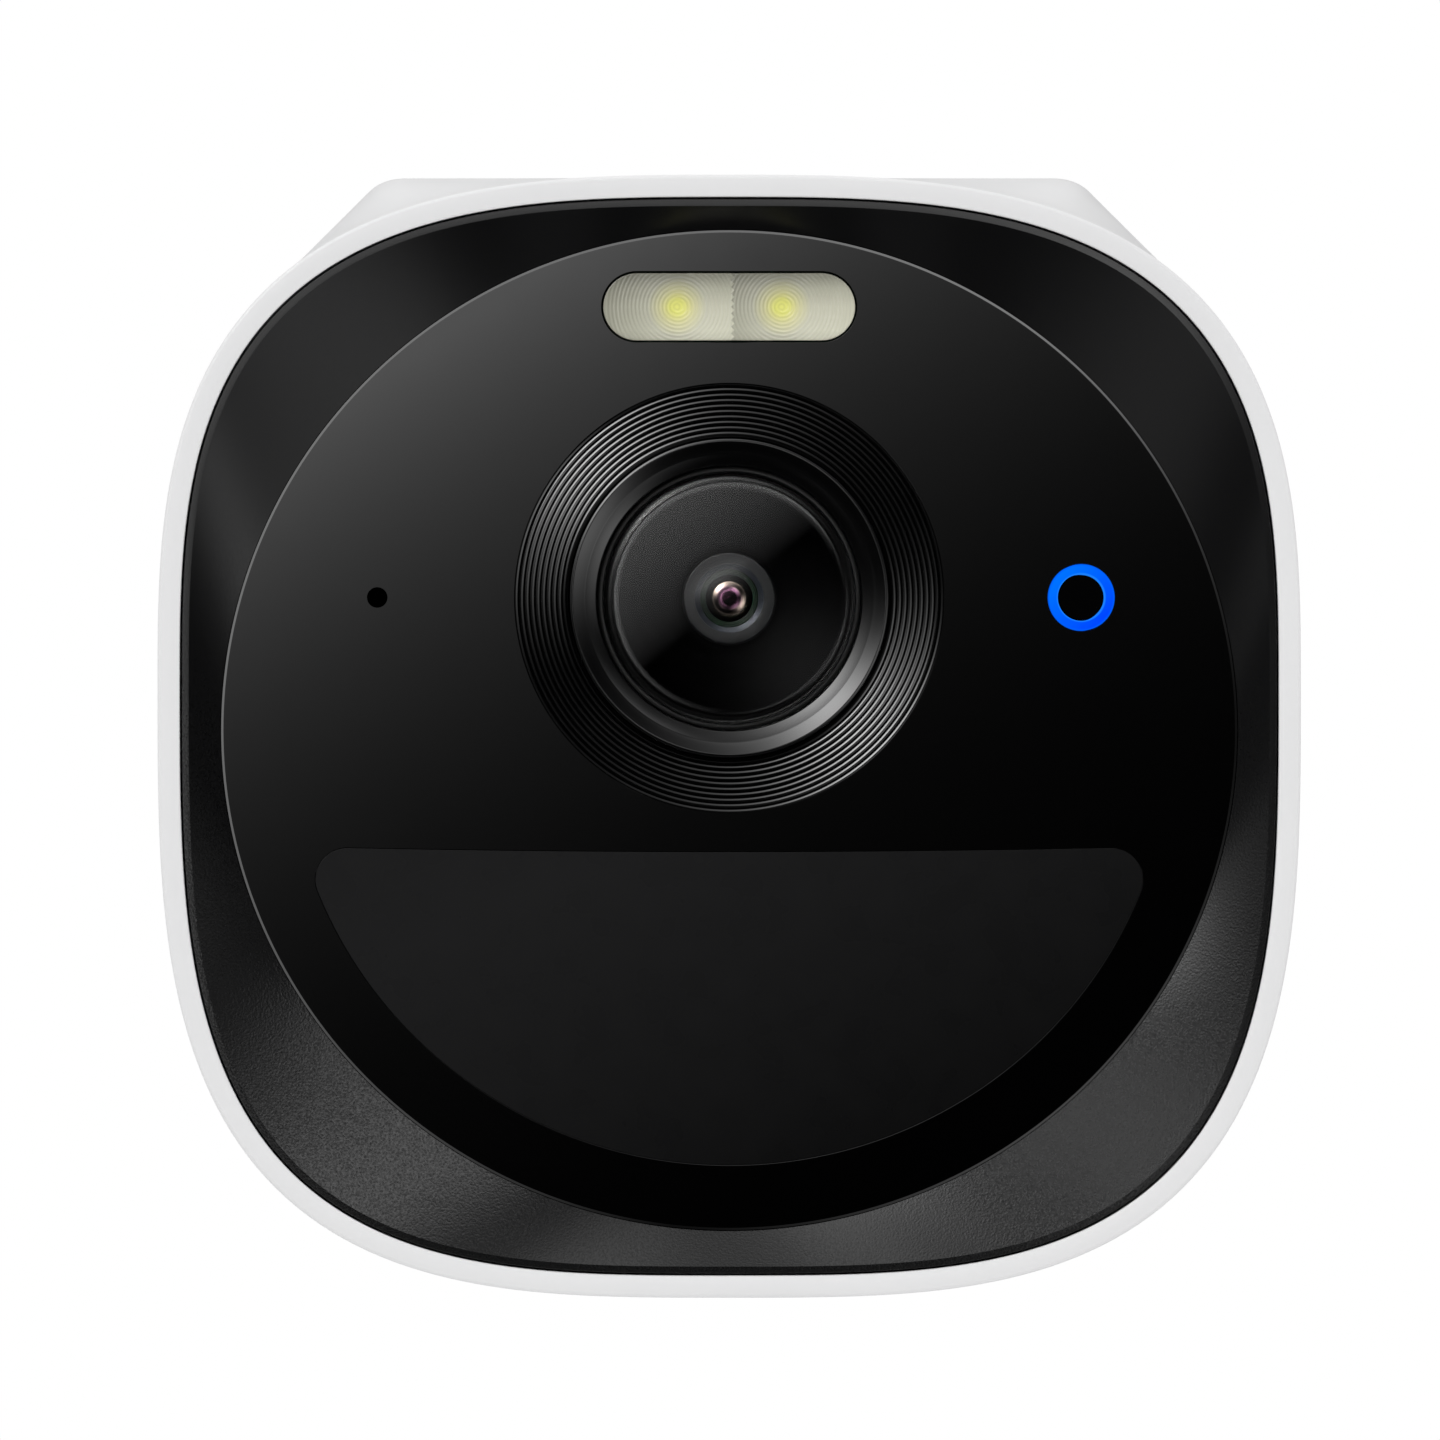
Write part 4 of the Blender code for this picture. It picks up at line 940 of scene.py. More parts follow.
def make_rear_cover():
    """End cap with a rounded edge, a raised boss round the thread, and all its openings."""
    loops = []
    steps = 12
    for i in range(steps + 1):
        a = math.pi / 2 * (1 - i / steps)
        shrink = REAR_FILLET * (1 - math.cos(a))
        forward = REAR_FACE + REAR_FILLET * (1 - math.sin(a))
        loops.append(body_outline(forward, deck=1, shrink=shrink))
    seam = HOUSING_REAR - GAP
    spigot_end, spigot_outer, spigot_inner, floor = 16.0, 3.3, 4.6, 3.0
    loops += [
        body_outline(8.0, deck=1),
        body_outline(seam - 0.3, deck=1),
        body_outline(seam - 0.1, deck=1, shrink=0.06),
        body_outline(seam, deck=1, shrink=0.25),
        inner_outline(seam, spigot_outer),
        inner_outline(spigot_end, spigot_outer),
        inner_outline(spigot_end, spigot_inner),
        inner_outline(floor, spigot_inner),
    ]
    cover = loft("rear_shell", loops, "white_shell", stands_for=["rear_cover"])
    boss = [(0, 0), (8.7, 0), (9, 0.3), (9, 9.5), (0, 9.5)]
    join(
        cover,
        turned("tool", soften(boss, 0.2), None, segments=96),
        tool_slab(rounded_rectangle(10.5, 6.4, 1.0, (0, -15.1)), 2.8, 4.8),
    )
    button_dish = [(0, -1), (4.2, -1), (4.2, 0.81), (3.6, 1.1), (0, 1.1)]
    tools = [
        turned("tool", [(0, -1), (5.1, -1), (5.1, 8.8), (0, 8.8)], None, segments=72),
        tool_slab(rectangle(*PORT_HALF, PORT_CORNER, PORT_PLACE, 10)(0.2), -1, 3.2),
        tool_slab(rounded_rectangle(4.8, 1.9, 1.5, PORT_PLACE), 0, 6),
        turned("tool", [(0, -1), (3.2, -1), (3.2, 4), (0, 4)], None, BUTTON_PLACE, 72),
        turned("tool", button_dish, None, BUTTON_PLACE, 72),
    ]
    pillar = [(0, 2.8), (3.1, 2.8), (3.1, 5.2), (0, 5.2)]
    sink = [(0, -1), (2.9, -1), (2.9, 0.9), (2.6, 1.1), (2.6, 2.6), (1.6, 2.6), (1.6, 6), (0, 6)]
    for number in range(1, 5):
        centre = screw_centre(number)
        join(cover, turned("tool", pillar, None, centre, 48))
        tools.append(turned("tool", sink, None, centre, 48))
    cut(cover, *tools)


def screw_centre(number):
    low, high = extent(f"rear_screw_{number}")
    return (low.x + high.x) / 2, (low.y + high.y) / 2


def make_seals():
    """Rubber beads behind the bezel and in the rear joint."""
    for name, outline, rear, front, inset in (
        ("front_seal", body_outline, 103.8, 104.9, 1.5),
        ("rear_seal", inner_outline, 12.6, 15.4, 2.3),
    ):
        profile = soften([(inset, rear), (inset, front), (3.0, front), (3.0, rear)], 0.3)
        loops = [outline(forward, inwards) for inwards, forward in profile]
        loft(name + "_bead", loops, "black_rubber", closed=True, stands_for=[name])


# ---- black front -------------------------------------------------------------
def make_bezel():
    """Dished frame: chamfered ridge just inside the white rim, falling to the face plate's edge."""
    angles = outline_angles()[0]
    low = DISC_TOP - DISC_CROWN - 0.06
    back, bore, steps = 105.2, 12.0, 16
    start = body_outline(0, BEZEL_RIDGE)
    end = face_outline(BEZEL_TO_DISC, angles)
    loops = [
        body_outline(back, BEZEL_EDGE),
        body_outline(BEZEL_TOP - 0.16, BEZEL_EDGE),
        body_outline(BEZEL_TOP - 0.085, BEZEL_EDGE + 0.03),
        body_outline(BEZEL_TOP - 0.012, BEZEL_RIDGE - 0.04),
    ]
    for i in range(steps + 1):
        t = i / steps
        forward = BEZEL_TOP - (BEZEL_TOP - low) * t
        loops.append(
            [(a[0] * (1 - t) + b[0] * t, a[1] * (1 - t) + b[1] * t, forward) for a, b in zip(start, end)]
        )
    loops.append([(x, up, BEZEL_SEAT) for x, up in end])
    for forward in (BEZEL_SEAT, BEZEL_SEAT - 1.5):
        ring = [(bore * math.cos(a), LENS_UP + bore * math.sin(a), forward) for a in angles]
        loops.append(ring)
    skirt = BEZEL_EDGE + 1.6
    loops += [body_outline(BEZEL_SEAT - 1.5, skirt), body_outline(back, skirt)]
    bezel = loft("bezel_dish", loops, "black_satin", closed=True, stands_for=["front_bezel"])
    low, high = 110, 114
    cut(
        bezel,
        tool_slab(pill(0.6), low, high),
        tool_slab(half_moon(-1.2), low, high),
        tool_slab(flat_ring(32, 0.8, (-SIDE_X, SIDE_UP)), low, high),
        tool_slab(flat_ring(48, 2.2, (SIDE_X, SIDE_UP)), low, high),
        sharp=20,
    )


def make_face_plate():
    """Gloss plate, slightly domed, with a flat chamfer round it and nearly sharp holes."""
    holes = [
        round_hole(GROOVE_OUTER + 0.06, (0, LENS_UP), 180),
        lambda grow: pill(0.1 + grow),
        lambda grow: half_moon(0.02 + grow),
        round_hole(0.54, (-SIDE_X, SIDE_UP), 40),
        round_hole(1.82, (SIDE_X, SIDE_UP), 72),
    ]
    plate(
        "face_plate", face_outline, holes, crown, DISC_BACK, 0.12, 1.3, "black_gloss",
        normal=crown_normal, rounds=1, edge_fall=0.2, stands_for=["face_disc"], sharp=5,
    )


def make_motion_window():
    """Tinted half-moon window, set just below the face plate round it."""
    def surface(x, up):
        return crown(x, up) - 0.015

    plate(
        "motion_window_pane", half_moon, [], surface, extent("motion_window")[0].z, 0.02, 1.3,
        "dark_window", normal=crown_normal, stands_for=["motion_window"],
    )


# ---- lens --------------------------------------------------------------------
def make_groove_ring():
    """Ten ridges with sloping flanks and dark valleys, falling slightly towards the lens."""
    first, pitch, ridges, rise = 8.93, 0.2955, 10, 0.3
    back = extent("groove_ring")[0].z

    def base(radius):
        return FACE - (GROOVE_OUTER - radius) * rise

    ridge = ((0.118, -0.16), (0.09, -0.036), (0.01, 0.0), (-0.01, 0.0), (-0.09, -0.036), (-0.118, -0.16))
    profile = [(GROOVE_OUTER, back), (GROOVE_OUTER, base(GROOVE_OUTER) - 0.05)]
    for i in reversed(range(ridges)):
        radius = first + pitch * i
        profile += [(radius + out, base(radius) + height) for out, height in ridge]
    profile += [(8.7, base(8.7) - 0.16), (8.7, back)]
    lens_part(
        "groove_ring_fine", profile, "black_ridged", 192,
        stands_for=["groove_ring"], slot="black_gloss", sharp=10,
    )


def make_trim_ring():
    """Trim ring with a bright outer edge and two bands that fall towards the glass."""
    back = extent("lens_trim_ring")[0].z
    profile = [(8.66, back)]
    profile += raised(FACE, (8.66, -0.35), (8.65, -0.285), (8.51, -0.222), (7.85, -0.55))
    profile += raised(FACE, (7.25, -0.76), (7.18, -0.85)) + [(7.18, back)]
    lens_part(
        "trim_ring_fine", soften(profile, 0.035, 3), "black_turned", 160,
        stands_for=["lens_trim_ring"], slot="black_gloss", sharp=50,
    )


def make_cover_glass():
    """Domed cover glass whose edge rolls over smoothly, its gasket round it and black mask behind it."""
    radius, shoulder, sphere, thick, wall = 6.82, 6.22, 32.0, 1.0, 0.22
    back = extent("cover_glass")[0].z
    edge_up, flatten = FACE - 0.87, 0.83
    inner = radius - wall
    start = math.atan(math.tan(math.asin(shoulder / sphere)) / flatten)
    across = (radius - shoulder) / (1 - math.sin(start))
    middle = edge_up + flatten * across * math.cos(start) + sphere - math.sqrt(sphere**2 - shoulder**2)

    def dome(r, inset):
        return middle - sphere + math.sqrt((sphere - inset) ** 2 - r**2)

    profile = [(inner, dome(inner, thick)), (inner, back), (radius, back), (radius, edge_up)]
    for a in spaced(math.pi / 2, start, 12)[1:]:
        r = radius - across * (1 - math.sin(a))
        profile.append((r, edge_up + flatten * across * math.cos(a)))
    rings = 14
    profile += [(shoulder * (1 - k / rings), dome(shoulder * (1 - k / rings), 0)) for k in range(rings)]
    profile += [(0, middle), (0, middle - thick)]
    profile += [(inner * k / rings, dome(inner * k / rings, thick)) for k in range(1, rings)]
    profile.append(profile[0])
    lens_part("cover_glass_dome", profile, "clear_glass", 128, stands_for=["cover_glass"], sharp=40)
    top = FACE - 1.2
    gasket = [(7.12, 112.9), (7.12, top - 0.1), (7.02, top), (6.88, top), (6.88, 112.9)]
    gasket = soften(gasket, 0.05)
    lens_part("glass_gasket_bead", gasket, "black_rubber", stands_for=["glass_gasket"], sharp=50)
    mask = [(6.45, 112.75), (6.45, 113.25)]
    for i in range(7):
        r = 6.1 - 0.5 * i
        mask += [(r, 113.25 - 0.02 * (i % 2)), (r - 0.42, 113.23 - 0.02 * (i % 2))]
    mask += [(2.55, 113.2), (2.55, 112.75)]
    lens_part("lens_mask", mask, "black_matt", stands_for=["lens_baffle"], slot="black_satin")


def make_lens_nose():
    """Barrel with its stepped, ringed nose and the coated front element in it."""
    low, high = extent("lens_barrel")
    radius = high.x
    barrel = [(3.0, low.z), (radius, low.z)]
    for turn in range(12):
        barrel += raised(low.z + 0.6 + turn * 0.5, (radius, 0), (radius - 0.18, 0.25))
    barrel += raised(high.z, (radius, -2.6), (radius, -0.2), (radius - 0.2, 0), (2.3, 0))
    barrel += [(2.3, 112.4), (1.5, 112.4), (1.5, 109.0), (3.0, 107.0)]
    lens_part("lens_barrel_fine", barrel, "inner_plastic", stands_for=["lens_barrel"])
    nose = [(2.46, high.z + 0.05), (2.46, 113.32), (2.42, 113.36), (1.87, 113.36), (1.7, high.z + 0.05)]
    lens_part("lens_nose", soften(nose, 0.02, 2), "nozzle_grey", slot="inner_plastic")
    cone = [(1.84, 113.34), (1.86, 113.35), (1.58, 113.14), (1.58, 112.8), (1.66, 112.8)]
    lens_part("lens_nose_cone", cone, "nozzle_blue", slot="inner_plastic", sharp=50)
    for i, r in enumerate((1.5, 1.41, 1.32)):
        back, top = 112.7, 113.0 - 0.05 * i
        outer, inner = r + 0.06, r - 0.03
        ring = [(outer, back), *raised(top, (outer, -0.03), (r, 0), (inner, -0.03)), (inner, back)]
        name = f"lens_retainer_{i + 1}"
        lens_part(name, soften(ring, 0.01, 2), "nozzle_green", 80, slot="inner_plastic")
    back, top, sphere, steps = extent("front_element")[0].z, 112.95, 1.9, 20
    profile = [(0, back), (ELEMENT_RADIUS, back)]
    for k in range(steps):
        r = ELEMENT_RADIUS * (1 - k / steps)
        profile.append((r, top - (sphere - math.sqrt(sphere**2 - r**2))))
    profile.append((0, top))
    lens_part(
        "front_element_bead", profile, "lens_coating", stands_for=["front_element"], slot="clear_glass"
    )


# ---- spotlight, status light, microphone -------------------------------------
def make_spotlight():
    """Pill-shaped lens whose rings are centred on the two LEDs and meet in a seam."""
    height = 0.035
    top = FACE + 0.02

    def surface(x, up):
        far = math.hypot(abs(x - SPOT_SEAM) - SPOT_LED_X, up - SPOT_UP)
        wave = 0.5 + 0.5 * math.cos(math.tau * far / SPOT_PITCH)
        calm = min(far / 0.5, 1.0)
        fade = 1 - smooth_step(min(max((far - 2.6) / 1.6, 0), 1)) * 0.75
        bowl = 0.1 * math.exp(-((far / 0.55) ** 2))
        return top - 0.05 * (far / 3) ** 2 - height * wave * calm * fade - bowl

    plate(
        "spot_lens_fine", pill, [], surface, 112.9, 0.06, 0.045, "spot_lens",
        stands_for=["spotlight_lens"], sharp=60,
    )


def make_status_light():
    """Round light pipe with a black core."""
    centre = (SIDE_X, SIDE_UP)
    low, high = extent("status_light_ring")
    back, front = low.z, high.z
    face = raised(front, (1.8, -0.06), (1.74, 0), (1.33, 0), (1.27, -0.06))
    pipe = [(1.8, back), *face, (1.27, back)]
    turned(
        "status_ring_pipe", soften(pipe, 0.04, 3), "status_blue", centre, 96,
        stands_for=["status_light_ring"], sharp=50,
    )
    back = extent("status_light_core")[0].z
    core = [(0, back), (1.22, back), *raised(front, (1.22, -0.12), (1.14, -0.04), (0, -0.02))]
    turned(
        "status_core_cap", core, "black_matt", centre, 72,
        stands_for=["status_light_core"], slot="black_gloss", sharp=40,
    )


def make_microphone():
    """Waisted rubber boot with a gauze over its mouth."""
    centre = (-SIDE_X, SIDE_UP)
    boot = [(1.6, 104.9), (1.6, 106.2), (1.3, 106.8), (1.3, 110.6)]
    boot += [(1.6, 111.0), (1.6, 111.4), (0.7, 111.4), (0.7, 104.9)]
    turned("mic_boot_fine", soften(boot, 0.15), "black_rubber", centre, 64, stands_for=["mic_boot"])
    gauze = [(0, 111.5), (0.74, 111.5), (0.74, 111.58), (0, 111.6)]
    turned("mic_gauze", gauze, "black_matt", centre, 48, slot="black_rubber")


# ---- top and rear ------------------------------------------------------------
def make_solar_panel():
    """Dark sheet with eight cells, their silver busbars, and a narrow frame."""
    low, high = extent("solar_panel")
    middle = (low.z + high.z) / 2
    half, long = high.x, (high.z - low.z) / 2
    sheet = slab(
        "solar_sheet", rectangle(half, long, 0.6, steps=6), low.y, high.y - 0.05, "black_satin",
        edge=0.1, stands_for=["solar_panel"], slot="solar_cells", sharp=10,
    )
    lay_flat(sheet, middle)
    rows, columns, margin, gap = 4, 2, 1.0, 0.35
    wide = (2 * half - 2 * margin - gap * (columns - 1)) / columns
    deep = (2 * long - 2 * margin - gap * (rows - 1)) / rows
    for i in range(rows * columns):
        row, column = divmod(i, columns)
        x = -half + margin + wide / 2 + column * (wide + gap)
        along = -long + margin + deep / 2 + row * (deep + gap)
        cell = slab(
            f"solar_cell_{i + 1}", rectangle(wide / 2, deep / 2, 0.5, (x, along)),
            high.y - 0.08, high.y, "solar_cells", edge=0.02, steps=2, sharp=10,
        )
        lay_flat(cell, middle)
        for k in range(2):
            bar = slab(
                f"solar_busbar_{i + 1}_{k + 1}",
                rectangle(0.12, deep / 2 - 0.3, 0.05, (x + (k - 0.5) * wide / 2, along)),
                high.y - 0.02, high.y + 0.02, "steel", edge=0.01, steps=2,
            )
            lay_flat(bar, middle)


def make_mount_insert():
    """Brass insert with a real helical thread of twenty turns to the inch."""
    low, high = extent("mount_insert")
    mouth, outer = low.z, high.x
    major, pitch, depth = 3.175, 25.4 / 20, 7.4
    minor = major - 0.61 * pitch
    segments, steps = 48, 8  # points round the bore, and rows along one turn
    rows = int((depth - mouth) / pitch) * steps

    def ring(radius, forward):
        return [(x, up, forward) for x, up in flat_ring(segments, radius)]

    loops = [ring(outer, high.z), ring(outer, mouth + 0.15), ring(outer - 0.15, mouth)]
    loops.append(ring(major + 0.3, mouth))
    for row in range(rows + 1):
        turns = row / steps
        forward = mouth + 0.35 + turns * pitch
        fade = min(turns, 1.0, (rows - row) / steps)
        threaded = []
        for i in range(segments):
            a = math.tau * i / segments
            phase = (turns - i / segments) % 1.0
            ridge = max(0.0, 1 - abs(phase - 0.5) * 2.6)
            radius = major - (major - minor) * ridge * fade
            threaded.append((radius * math.cos(a), radius * math.sin(a), forward))
        loops.append(threaded)
    loops.append(ring(major - 0.4, forward + 0.15))
    loft("thread_insert", loops, "brass", stands_for=["mount_insert"], sharp=40)


def make_rear_screws():
    """Screws with a domed head and a six-lobed recess."""
    for number in range(1, 5):
        node = f"rear_screw_{number}"
        low, high = extent(node)
        head, centre = low.z, screw_centre(number)
        profile = raised(head, (0, 0), (0.9, 0.01), (1.5, 0.08), (2.0, 0.26), (2.2, 0.5))
        profile += raised(head, (2.2, 1.1), (1.0, 1.1))
        for turn in range(20):
            profile += raised(head + 1.6 + turn * 0.55, (0.85, 0), (1.1, 0.2), (0.85, 0.4))
        profile += raised(high.z, (0.6, -0.2), (0, 0))
        screw = turned(f"screw_{number}", profile, "steel", centre, 60, stands_for=[node], sharp=40)
        lobes = []
        for i in range(72):
            a = math.tau * i / 72
            r = 0.98 + 0.2 * math.cos(6 * a)
            lobes.append((centre[0] + r * math.cos(a), centre[1] + r * math.sin(a)))
        cut(screw, tool_slab(lobes, head - 0.5, head + 0.95))


def make_button():
    """Rear button: dished rubber cap with a raised dot, on its flange and stem."""
    low, high = extent("sync_button")
    face = low.z
    profile = raised(face, (0, 0), (0.35, 0), (0.5, 0.12), (1.0, 0.2), (1.8, 0.12))
    profile += raised(face, (2.55, 0), (2.85, 0.06), (3.0, 0.3))
    profile += [(3.0, 3.3), (3.9, 3.3), (3.9, 4.1), (0.8, 4.1), (0.8, high.z), (0, high.z)]
    turned(
        "button_cap", profile, "white_rubber", BUTTON_PLACE, 72,
        body="sync_key", stands_for=["sync_button"], sharp=35,
    )


def make_port_flap():
    """Rubber flap with a rounded face, finger notch, inner bead and hollow stub."""
    low, high = extent("port_cover")
    face = low.z
    flap = slab(
        "port_flap_cover", rectangle(*PORT_HALF, PORT_CORNER, PORT_PLACE, 8, 6), face, 2.8,
        "white_rubber", edge=0.35, steps=5, body="port_flap", stands_for=["port_cover"],
    )
    join(flap, tool_slab(rounded_rectangle(3.6, 0.95, 0.8, PORT_PLACE, 8), 2.4, high.z))
    notch = tool_slab(flat_ring(48, 1.9, (PORT_HALF[0] + 0.9, PORT_UP)), face - 1, face + 0.7)
    groove = rounded_rectangle(5.6, 2.9, 1.9, PORT_PLACE, 8)
    inner = rounded_rectangle(5.2, 2.5, 1.6, PORT_PLACE, 8)
    sides = ((groove, 2.5), (groove, 3.2), (inner, 3.2), (inner, 2.5))
    trench = loft("tool", [[(x, up, depth) for x, up in side] for side, depth in sides], None, closed=True)
    hollow = tool_slab(rounded_rectangle(3.1, 0.5, 0.45, PORT_PLACE, 6), 3.0, high.z + 1)
    cut(flap, notch, trench, hollow)


def make_usb_port():
    """USB-C shell with its tongue and gold contacts."""
    low, high = extent("usb_port")
    shell = slab(
        "usb_shell", rectangle(4.47, 1.58, 1.4, PORT_PLACE, 10), low.z, high.z, "steel",
        edge=0.08, stands_for=["usb_port"],
    )
    cut(shell, tool_slab(rounded_rectangle(4.17, 1.28, 1.2, PORT_PLACE), 2, 7.8))
    tongue = ((-3.35, PORT_UP - 0.35, 4.4), (3.35, PORT_UP + 0.35, 7.9))
    block("usb_tongue", *tongue, "chip_black", 0.2, 0.08)
    count, pitch = 12, 0.5
    for i in range(2 * count):
        row, column = divmod(i, count)
        x = (column - (count - 1) / 2) * pitch
        under = PORT_UP + (-0.38, 0.34)[row]
        contact = ((x - 0.13, under, 4.7), (x + 0.13, under + 0.04, 7.7))
        block(f"usb_contact_{i + 1}", *contact, "copper_pad", 0.015, 0.01, slot="steel")


# ---- inside ------------------------------------------------------------------
def make_cells():
    """Wrapped cells with a rolled can edge, a vented cap and a ring of insulating paper."""
    for number in range(1, 5):
        node = f"battery_cell_{number}"
        low, high = extent(node)
        back, front = low.z, high.z
        centre = ((low.x + high.x) / 2, (low.y + high.y) / 2)
        radius = (high.y - low.y) / 2
        wrap = raised(back, (0, 0), (6.6, 0), (6.8, 0.1), (radius - 0.5, 0.1), (radius, 0.5))
        wrap += raised(front, (radius, -3.6), (radius - 0.35, -3.2), (radius - 0.35, -2.8), (radius, -2.4))
        wrap += raised(front, (radius, -0.9), (radius - 0.4, -0.45), (6.9, -0.45), (6.7, -0.6), (0, -0.6))
        turned(f"cell_{number}", soften(wrap, 0.2, 3), "cell_wrap", centre, 64, stands_for=[node])
        cap = raised(front, (0, -0.58), (0, 0), (2.9, 0), (3.1, -0.1), (3.3, -0.58))
        turned(f"cell_cap_{number}", cap, "steel", centre, 48)
        paper = raised(front, (6.4, -0.59), (6.4, -0.5), (3.6, -0.5), (3.6, -0.59))
        turned(f"cell_paper_{number}", paper, "cream_label", centre, 48, slot="white_rubber")


def make_speaker():
    """Speaker basket, cone with a rolled surround and dust cap, and woven mesh."""
    low, high = extent("speaker_cone")
    centre = (0, (low.z + high.z) / 2)
    cone = raised(low.y, (0, 0), (1.5, 0.05), (3.2, 0.3), (3.6, 0.42), (4.4, 0.38), (8.4, 0.1))
    cone += raised(low.y, (8.8, 0.12), (9.4, 0.01), (10.2, 0.02), (10.9, 0.1), (11.2, 0.25))
    cone += raised(low.y, (11.2, 0.45), (8.6, 0.5), (4.0, 0.8)) + [(3.0, high.y), (0, high.y)]
    turned(
        "speaker_diaphragm_cone", cone, "black_satin", centre, axis="up",
        body="speaker_diaphragm", stands_for=["speaker_cone"], sharp=50,
    )
    low, high = extent("speaker_basket")
    radius, wall = high.x, 0.8
    basket = raised(low.y, (0, 2.6), (4.5, 2.6), (4.5, 4.2), (radius - wall, 4.2), (radius - wall, 0))
    basket += raised(low.y, (radius, 0), (radius, 3.6), (radius - 0.6, 4.4))
    basket += raised(high.y, (8.6, -0.1), (8.2, 0), (0, 0))
    turned(
        "speaker_frame", soften(basket, 0.12, 2), "inner_plastic", centre, axis="up",
        stands_for=["speaker_basket"],
    )
    low, high = extent("speaker_mesh")
    mesh = [(0, low.y), (high.x, low.y), (high.x, high.y), (0, high.y)]
    turned("speaker_mesh_disc", mesh, "black_rubber", centre, 64, axis="up", stands_for=["speaker_mesh"])


# ---- stage -------------------------------------------------------------------
def facing(azimuth, tilt):
    """Unit vector this far off the lens axis, towards an azimuth in the face's plane, in degrees."""
    a, t = math.radians(azimuth), math.radians(tilt)
    return (math.sin(t) * math.cos(a), -math.cos(t), math.sin(t) * math.sin(a))


def lamp(tree, direction, aim, sharpness, strength):
    """A soft round lamp in the sky; sharpness says how fast it fades with the angle from its middle."""
    off = sums(tree, "SUBTRACT", dot(tree, direction, aim), 1.0)
    return sums(tree, "MULTIPLY", sums(tree, "EXPONENT", sums(tree, "MULTIPLY", off, sharpness)), strength)


def together(tree, lights):
    """The sum of several lights."""
    total = 0.0
    for light in lights:
        total = sums(tree, "ADD", total, light)
    return total


def lamps(tree, direction, settings):
    """Several lamps together, as (azimuth, tilt, sharpness, strength)."""
    return together(
        tree,
        [lamp(tree, direction, facing(azimuth, tilt), *rest) for azimuth, tilt, *rest in settings],
    )


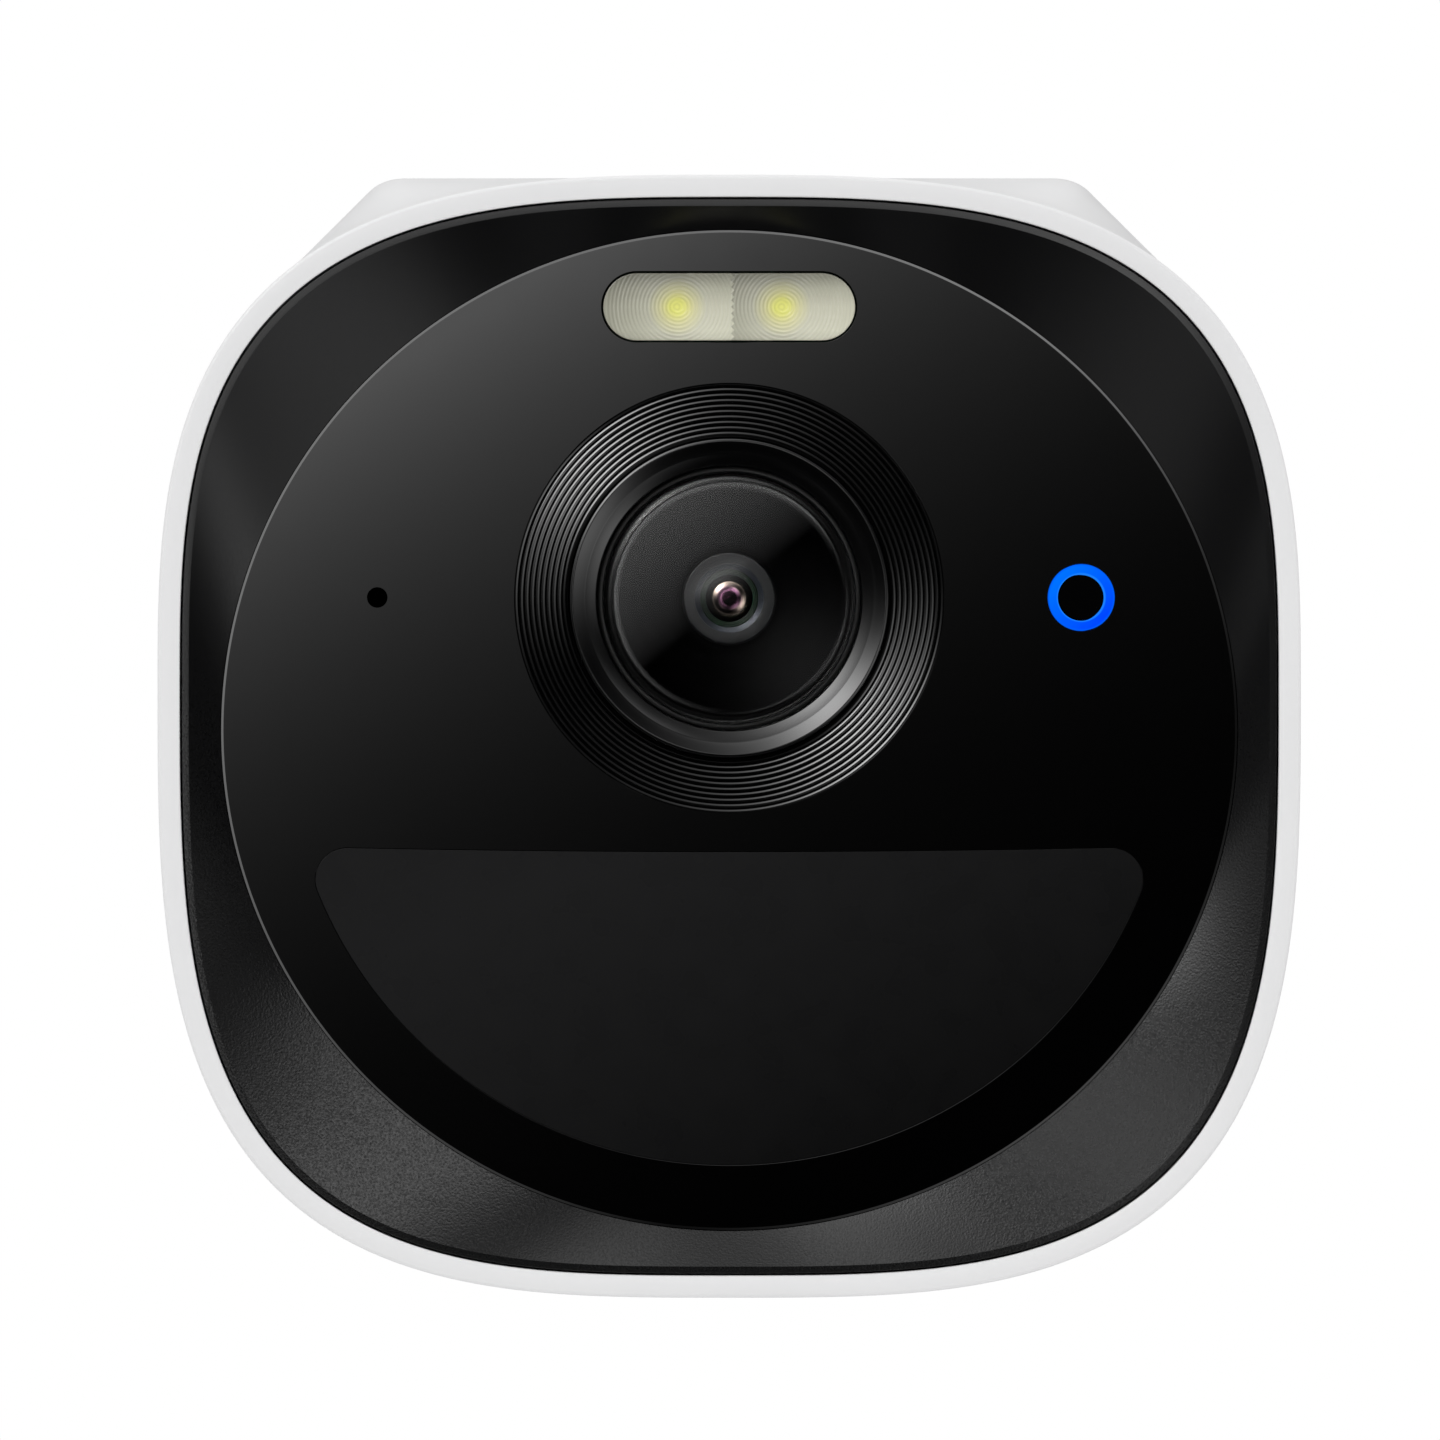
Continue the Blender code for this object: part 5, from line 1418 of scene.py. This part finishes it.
def make_light():
    """Studio light as a sky: white to the lens, even for matt surfaces, softboxes for gloss."""
    world = bpy.data.worlds.new("studio")
    bpy.context.scene.world = world
    world.use_nodes = True
    tree = world.node_tree
    tree.nodes.clear()
    direction = add(tree, "TexCoord").outputs["Generated"]
    cosine = dot(tree, direction, facing(0, 0))
    away = sums(tree, "DIVIDE", sums(tree, "DEGREES", sums(tree, "ARCCOSINE", cosine)), 180.0)

    def along(azimuth):
        return dot(tree, direction, facing(azimuth, 90))

    def gated(light, stops):
        """Light times a level along the angle off the lens axis, from (degrees, level) stops."""
        gate = grey(tree, away, [(degrees / 180, level) for degrees, level in stops])
        return sums(tree, "MULTIPLY", light, gate)

    rise = sums(tree, "EXPONENT", sums(tree, "MULTIPLY", along(122), 36.0))
    card = sums(tree, "MINIMUM", sums(tree, "MULTIPLY", rise, 0.1), 2.0)
    screen = sums(tree, "MULTIPLY", sums(tree, "MAXIMUM", along(130), 0.0), 3.5)
    side = sums(tree, "POWER", sums(tree, "MAXIMUM", along(115), 0.0), 2.0)
    edge = sums(tree, "MAXIMUM", sums(tree, "MULTIPLY_ADD", along(145), 5.2, 1.15), 0.0)
    gloss = together(tree, (
        gated(card, CARD_LEVELS),
        gated(screen, SCREEN_LEVELS),
        gated(sums(tree, "MULTIPLY_ADD", side, 1.8, 0.12), SIDE_LEVELS),
        gated(edge, EDGE_LEVELS),
        gated(lamps(tree, direction, LAMPS), LAMP_LEVELS),
        gated(lamps(tree, direction, FILLS), FILL_LEVELS),
        gated(lamps(tree, direction, LOWER_LAMP), SCREEN_LEVELS),
        lamp(tree, direction, Vector((0.0, 0.45, 0.9)).normalized(), 6.0, 0.7),
    ))
    even = sums(tree, "ADD", dot(tree, direction, (-0.06, -0.05, 0.5)), 0.84)
    path = add(tree, "LightPath").outputs
    mirror = sums(tree, "MAXIMUM", path["Is Glossy Ray"], path["Is Transmission Ray"])
    light = add(tree, "MixRGB", {"Fac": mirror, "Color1": even, "Color2": gloss}).outputs["Color"]
    to_camera = {"Fac": path["Is Camera Ray"], "Color1": light, "Color2": (1, 1, 1, 1)}
    shown = add(tree, "MixRGB", to_camera).outputs["Color"]
    background = add(tree, "Background", {"Color": shown, "Strength": 1.0}).outputs["Background"]
    add(tree, "OutputWorld", {"Surface": background})


def make_floor():
    """Pale floor well below the camera, seen from above only."""
    half, depth = 1.5, -0.25
    mesh = bpy.data.meshes.new("floor")
    corners = [(-half, -half, depth), (half, -half, depth), (half, half, depth), (-half, half, depth)]
    mesh.from_pydata(corners, [], [(0, 1, 2, 3)])
    floor = bpy.data.objects.new("floor", mesh)
    bpy.context.scene.collection.objects.link(floor)
    material = bpy.data.materials.new("pale_floor")
    material.use_nodes = True
    tree = material.node_tree
    shader = tree.nodes["Principled BSDF"]
    feed(tree, shader, {"Base Color": (0.86, 0.86, 0.86, 1), "Roughness": 0.9, "Specular IOR Level": 0.0})
    under = add(tree, "NewGeometry").outputs["Backfacing"]
    see_through = add(tree, "BsdfTransparent").outputs["BSDF"]
    mixed = add(tree, "MixShader", {0: under, 1: shader.outputs["BSDF"], 2: see_through}).outputs["Shader"]
    feed(tree, tree.nodes["Material Output"], {"Surface": mixed})
    mesh.materials.append(material)
    floor.visible_glossy = False
    floor.visible_transmission = False


def make_camera():
    """Straight front view from far away, as a long lens gives it."""
    data = bpy.data.cameras.new("front_view")
    data.lens, data.sensor_width = 1000, 36
    data.clip_start, data.clip_end = 0.1, 20
    camera = bpy.data.objects.new("front_view", data)
    distance = 2169
    camera.location = Vector((-0.5, -(RIM + distance), 0.98)) * MM
    camera.rotation_euler = (math.radians(90), 0, 0)
    bpy.context.scene.collection.objects.link(camera)
    bpy.context.scene.camera = camera
    bpy.context.scene.view_settings.view_transform = "Standard"


def main():
    for make in (
        make_materials, finish_cad_nodes,
        make_housing, make_rear_cover, make_seals,
        make_bezel, make_face_plate, make_motion_window,
        make_groove_ring, make_trim_ring, make_cover_glass, make_lens_nose,
        make_spotlight, make_status_light, make_microphone,
        make_solar_panel, make_mount_insert, make_rear_screws,
        make_button, make_port_flap, make_usb_port,
        make_cells, make_speaker,
        make_light, make_floor, make_camera,
    ):
        make()


main()
